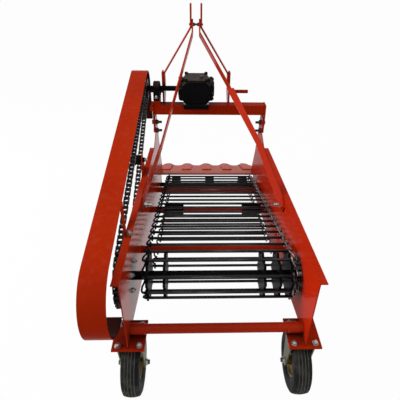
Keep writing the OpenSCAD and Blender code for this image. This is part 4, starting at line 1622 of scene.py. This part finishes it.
@dataclass
class FrameWork:
    """Bolts, beads and trim of the side plates, tubes, beam, bearings and blade."""

    tubes: tuple[str, ...] = ("rear_tube", "cross_tube_rear", "cross_tube_middle", "cross_tube_front")
    # Inner and outer distance from the tube
    sleeve: Point2 = (0.2 * MM, 3 * MM)
    # Length outside and inside
    sleeve_ends: Point2 = (58 * MM, 60 * MM)
    teeth: int = 5
    tooth_pitch: float = 158 * MM
    # Half width of a blade point, share of the blade's run
    point: Profile = ((34 * MM, 0.36), (38 * MM, 0.86), (16 * MM, 0.965))
    point_sheet: Sheet = (8 * MM, 2 * MM)
    # Distance ahead of a leg's middle, distance under a side plate's top
    horn_bolts: Profile = in_mm((16, 50), (2, 100))
    horn_bolt: Thread = (17 * MM, 20 * MM)
    bead_out: float = 4 * MM
    bead_lift: float = 1 * MM
    # Distances from the foot plate's rear and front
    bead_in: Point2 = (10 * MM, 2 * MM)
    bolt: float = 11 * MM
    stub: float = 6 * MM
    ear_in: float = 12 * MM
    ear_ring: float = 58 * MM
    block_foot: float = 15 * MM
    block_neck: float = 4 * MM
    block_dome: float = 0.8
    block_edge: float = 4 * MM
    block_bolt_in: float = 9 * MM
    tab_top: float = 4.6 * MM
    tab_in: float = 12 * MM
    tab_stub: float = 4 * MM
    roller_in: float = 4 * MM
    roller_nut: Thread = (12 * MM, 6 * MM)

    def fasten(self, bright: Fasteners, dark: Fasteners, welds: Welds) -> None:
        """Adds the frame's fasteners, welds and trim.

        Args:
            bright: The bright fasteners.
            dark: The dark fasteners.
            welds: The weld beads.
        """
        for tube in self.tubes:
            low, high, middle = span(tube)
            for x in (low.x, high.x):
                welds.ring(at_x(x, middle), X_AXIS, (high.z - low.z) / 2)
        for side in Side:
            self._horn(side, dark)
            self._foot(side, welds)
            self._bearing(side, bright)
        self._output_bearing(bright)
        self._guard(bright)
        self._beam(welds)
        self._sleeves()
        self._points()

    def _sleeves(self) -> None:
        """Adds a sleeve at each end of the rear tube."""
        low, high, middle = span("rear_tube")
        radius = (high.z - low.z) / 2
        inner, outer = (radius + wall for wall in self.sleeve)
        shape = Shape()
        for x, sign in ((low.x, 1), (high.x, -1)):
            place = facing(at_x(x, middle), sign * X_AXIS)
            near, far = self.sleeve_ends
            shape.lathe([(inner, 0), (outer, 0), (outer, near), (inner, far)], place, 40)
        shape.build("tube_sleeves", Body.FRAME, TUBE)

    def _points(self) -> None:
        """Adds a forged point along the blade behind each tooth."""
        low, high, middle = span("blade")
        run = math.hypot(high.y - low.y, high.z - low.z)
        slope = math.atan2(high.z - low.z, high.y - low.y)
        place = Matrix.Translation((0, low.y, high.z)) @ Matrix.Rotation(-slope, 4, "X")
        sheet, chamfer = self.point_sheet
        shape = Shape()
        for k in range(self.teeth):
            x = middle.x + (k - (self.teeth - 1) / 2) * self.tooth_pitch
            right = [(x + half, share * run) for half, share in self.point]
            left = [(x - half, share * run) for half, share in self.point]
            shape.prism([left[0], *right, *left[:0:-1]], 0, sheet, place, chamfer)
        shape.build("blade_points", Body.FRAME, BLADE)

    def _horn(self, side: Side, dark: Fasteners) -> None:
        """Adds the bolts through a horn and its beam leg, with their nuts on the inside.

        Args:
            side: The side.
            dark: The dark fasteners.
        """
        low, high, _ = span(f"side_plate_{side.word}")
        leg_low, leg_high, leg = span(f"beam_leg_{side.word}")
        outer = side.outer(leg_low, leg_high)
        thread, stub = self.horn_bolt
        for ahead, drop in self.horn_bolts:
            spot = Vector((side.inner(low, high), leg.y + ahead, high.z - drop))
            dark.bolt(spot, -side.value * X_AXIS, thread, stub)
            seat = outer if high.z - drop > leg_low.z else outer - side.value * (leg_high.x - leg_low.x)
            dark.bolt(at_x(seat, spot), side.value * X_AXIS, thread)

    def _foot(self, side: Side, welds: Welds) -> None:
        """Adds the beads between a side plate and its foot plate.

        Args:
            side: The side.
            welds: The weld beads.
        """
        low, high, middle = span(f"foot_plate_{side.word}")
        rear, front = self.bead_in
        for dx in (-self.bead_out, self.bead_out):
            start = Vector((middle.x + dx, low.y + rear, high.z + self.bead_lift))
            welds.line(start, Vector((start.x, high.y - front, start.z)))

    def _bearing(self, side: Side, bright: Fasteners) -> None:
        """Adds the bolts of a drive bearing, outside and inside.

        Args:
            side: The side.
            bright: The bright fasteners.
        """
        low, high, middle = span(f"drive_bearing_{side.word}")
        inner = side.inner(*span(f"side_plate_{side.word}")[:2])
        ear = side.inner(low, high) + side.value * self.ear_in
        for y, z in ring(self.ear_ring, 4, math.pi / 4):
            spot = Vector((ear, middle.y + y, middle.z + z))
            bright.bolt(spot, side.value * X_AXIS, self.bolt)
            bright.bolt(at_x(inner, spot), -side.value * X_AXIS, self.bolt, self.stub)

    def _output_bearing(self, bright: Fasteners) -> None:
        """Rounds the output shaft's bearing block and adds its bolts.

        Args:
            bright: The bright fasteners.
        """
        low, high, middle = span("shaft_bearing")
        half, foot = (high.y - low.y) / 2, self.block_foot
        dome, neck = half * self.block_dome, foot + self.block_neck
        base = high.z - low.z - dome
        crown = [math.radians(a) for a in range(0, 181, 18)]
        outline = [(-half, 0), (half, 0), (half, foot), (dome, neck)]
        outline += [(dome * math.cos(a), base + dome * math.sin(a)) for a in crown]
        outline += [(-dome, neck), (-half, foot)]
        shape = Shape()
        place = across(low.x, middle.y, low.z, Y_AXIS)
        shape.prism(outline, 0, high.x - low.x, place, self.block_edge)
        shape.build("bearing_block", Body.FRAME, CAST_BLACK, ["shaft_bearing"])
        for y in (low.y + self.block_bolt_in, high.y - self.block_bolt_in):
            bright.bolt(Vector((middle.x, y, low.z + foot)), Z_AXIS, self.bolt, self.stub)

    def _guard(self, bright: Fasteners) -> None:
        """Adds the bolt of the guard's tab and the tensioner's nut.

        Args:
            bright: The bright fasteners.
        """
        low, high, middle = span("guard_tab")
        seat = Vector((high.x - self.tab_in, middle.y, low.z + self.tab_top))
        bright.bolt(seat, Z_AXIS, self.bolt, self.tab_stub)
        _, high, middle = span("tensioner_roller")
        bright.bolt(at_x(high.x - self.roller_in, middle), X_AXIS, *self.roller_nut, washer=False)

    def _beam(self, welds: Welds) -> None:
        """Adds the beads at the beam's ends.

        Args:
            welds: The weld beads.
        """
        low, high, _ = span("cross_beam")
        for x in (low.x, high.x):
            corners = [(low.y, low.z), (high.y, low.z), (high.y, high.z), (low.y, high.z)]
            points = [Vector((x, y, z)) for y, z in corners]
            for k in range(4):
                welds.line(points[k], points[(k + 1) % 4])


@dataclass
class Studio:
    """The pale floor, the soft light and the camera."""

    camera_at: Point3 = (-0.0467, -1.8710, 1.5569)
    yaw: float = 2.21
    pitch: float = 33.14
    roll: float = 1.12
    focal_px: float = 383.32
    centre_px: Point2 = (9.54, -1.05)
    image_px: float = 400.0
    sensor_mm: float = 36.0
    floor_half: float = 30.0
    floor_tones: tuple[Colour, Colour] = ((0.72, 0.72, 0.72), (0.78, 0.78, 0.78))
    floor_white: float = 0.97
    soft_light: float = 0.32
    # Name, place, side in metres, power in watts
    lamps: tuple[tuple[str, Point3, float, float], ...] = (
        ("key_light", (-0.4, -1.8, 3.0), 2.5, 16.0),
        ("left_light", (-3.6, -0.4, 2.4), 2.6, 148.0),
        ("right_light", (3.6, 0.2, 2.6), 2.6, 40.0),
    )
    aim: Point3 = (0, 0, 0.5)

    def build(self) -> None:
        """Builds the floor, the world, the lamps and the camera."""
        self._floor()
        self._world()
        for name, at, size, power in self.lamps:
            self._lamp(name, Vector(at), size, power)
        self._camera()
        bpy.context.scene.view_settings.view_transform = "Standard"

    def _floor(self) -> None:
        """Adds a plain pale floor that shows white and keeps the machine's shadow."""
        half = self.floor_half
        corners = [(-half, -half, 0), (half, -half, 0), (half, half, 0), (-half, half, 0)]
        mesh = bpy.data.meshes.new("studio_floor")
        mesh.from_pydata(corners, [], [(0, 1, 2, 3)])
        floor = bpy.data.objects.new("studio_floor", mesh)
        bpy.context.scene.collection.objects.link(floor)
        material = bpy.data.materials.new("pale_floor")
        graph = Graph(material)
        pale = graph.blend(graph.noise(0.6, 2.0), *self.floor_tones)
        matt = graph.add("ShaderNodeBsdfPrincipled", {}, {"Base Color": pale, "Roughness": 0.9})
        white = graph.add("ShaderNodeEmission", {}, {"Color": WHITE, "Strength": 1.0})
        share = self._seen(graph) * self.floor_white
        mixed = graph.add("ShaderNodeMixShader", {}, {0: share, 1: matt, 2: white})
        graph.add_output("ShaderNodeOutputMaterial", mixed)
        mesh.materials.append(material)

    def _world(self) -> None:
        """Sets a white surround that lights softly from all round."""
        world = bpy.data.worlds.new("white_surround")
        graph = Graph(world)
        light = graph.add("ShaderNodeBackground", {}, {"Color": WHITE, "Strength": self.soft_light})
        white = graph.add("ShaderNodeBackground", {}, {"Color": WHITE, "Strength": 1.0})
        mixed = graph.add("ShaderNodeMixShader", {}, {0: self._seen(graph), 1: light, 2: white})
        graph.add_output("ShaderNodeOutputWorld", mixed)
        bpy.context.scene.world = world

    def _seen(self, graph: Graph) -> Signal:
        """Tells where the surround is looked at, straight, mirrored or through glass.

        Args:
            graph: The graph of the floor or the world.

        Returns:
            1 where it is looked at and 0 where it only lights.
        """
        rays = ("Is Camera Ray", "Is Glossy Ray", "Is Transmission Ray")
        straight, mirrored, through = (graph.add("ShaderNodeLightPath", output=ray) for ray in rays)
        return straight + mirrored + through

    def _lamp(self, name: str, at: Vector, size: float, power: float) -> None:
        """Adds a square lamp aimed at the machine.

        Args:
            name: The lamp's name.
            at: Its place.
            size: Its side.
            power: Its power in watts.
        """
        data = bpy.data.lights.new(name, "AREA")
        data.size = size
        data.energy = power
        lamp = bpy.data.objects.new(name, data)
        lamp.location = at
        lamp.rotation_euler = (Vector(self.aim) - at).to_track_quat("-Z", "Y").to_euler()
        bpy.context.scene.collection.objects.link(lamp)

    def _camera(self) -> None:
        """Adds the camera at the photograph's viewing angle."""
        yaw, pitch, roll = (math.radians(a) for a in (self.yaw, self.pitch, self.roll))
        ahead = Vector((math.sin(yaw) * math.cos(pitch), math.cos(yaw) * math.cos(pitch), -math.sin(pitch)))
        level = Vector((math.cos(yaw), -math.sin(yaw), 0))
        above = level.cross(ahead)
        right = level * math.cos(roll) + above * math.sin(roll)
        up = above * math.cos(roll) - level * math.sin(roll)
        data = bpy.data.cameras.new("camera")
        data.sensor_width = self.sensor_mm
        data.lens = self.focal_px * self.sensor_mm / self.image_px
        data.shift_x = -self.centre_px[0] / self.image_px
        data.shift_y = self.centre_px[1] / self.image_px
        camera = bpy.data.objects.new("camera", data)
        turn = Matrix((right, up, -ahead)).transposed().to_4x4()
        camera.matrix_world = Matrix.Translation(self.camera_at) @ turn
        bpy.context.scene.collection.objects.link(camera)
        bpy.context.scene.camera = camera


def dress_solids() -> None:
    """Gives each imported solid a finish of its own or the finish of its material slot."""
    for part in frame["record"]["subparts"]:
        solid = frame["nodes"][part["node"]]
        finish = NODE_FINISHES.get(part["node"], SLOT_FINISHES[part["material_slot"]])
        solid.data.materials.clear()
        solid.data.materials.append(finish.material())
        LOG.info("%s: finish %s", part["node"], finish.name)


def main() -> None:
    """Builds the machine's looks, piece by piece."""
    logging.basicConfig(level=logging.INFO, format="%(message)s")
    Studio().build()
    dress_solids()
    bright = Fasteners("bright_fasteners", BOLT)
    dark = Fasteners("dark_fasteners", DARK_BOLT, seed=5)
    zinc = Fasteners("zinc_fasteners", PALE_ZINC, seed=3)
    welds = Welds()
    ChainDrive().build()
    RodWeb().build()
    for side in Side:
        caster = Caster(side)
        caster.build()
        caster.fasten(bright, zinc)
    GearCasting().build(dark, bright)
    Hitch().fasten(bright, dark, welds)
    FrameWork().fasten(bright, dark, welds)
    for group in (bright, dark, zinc, welds):
        group.build()


if __name__ == "__main__":
    main()
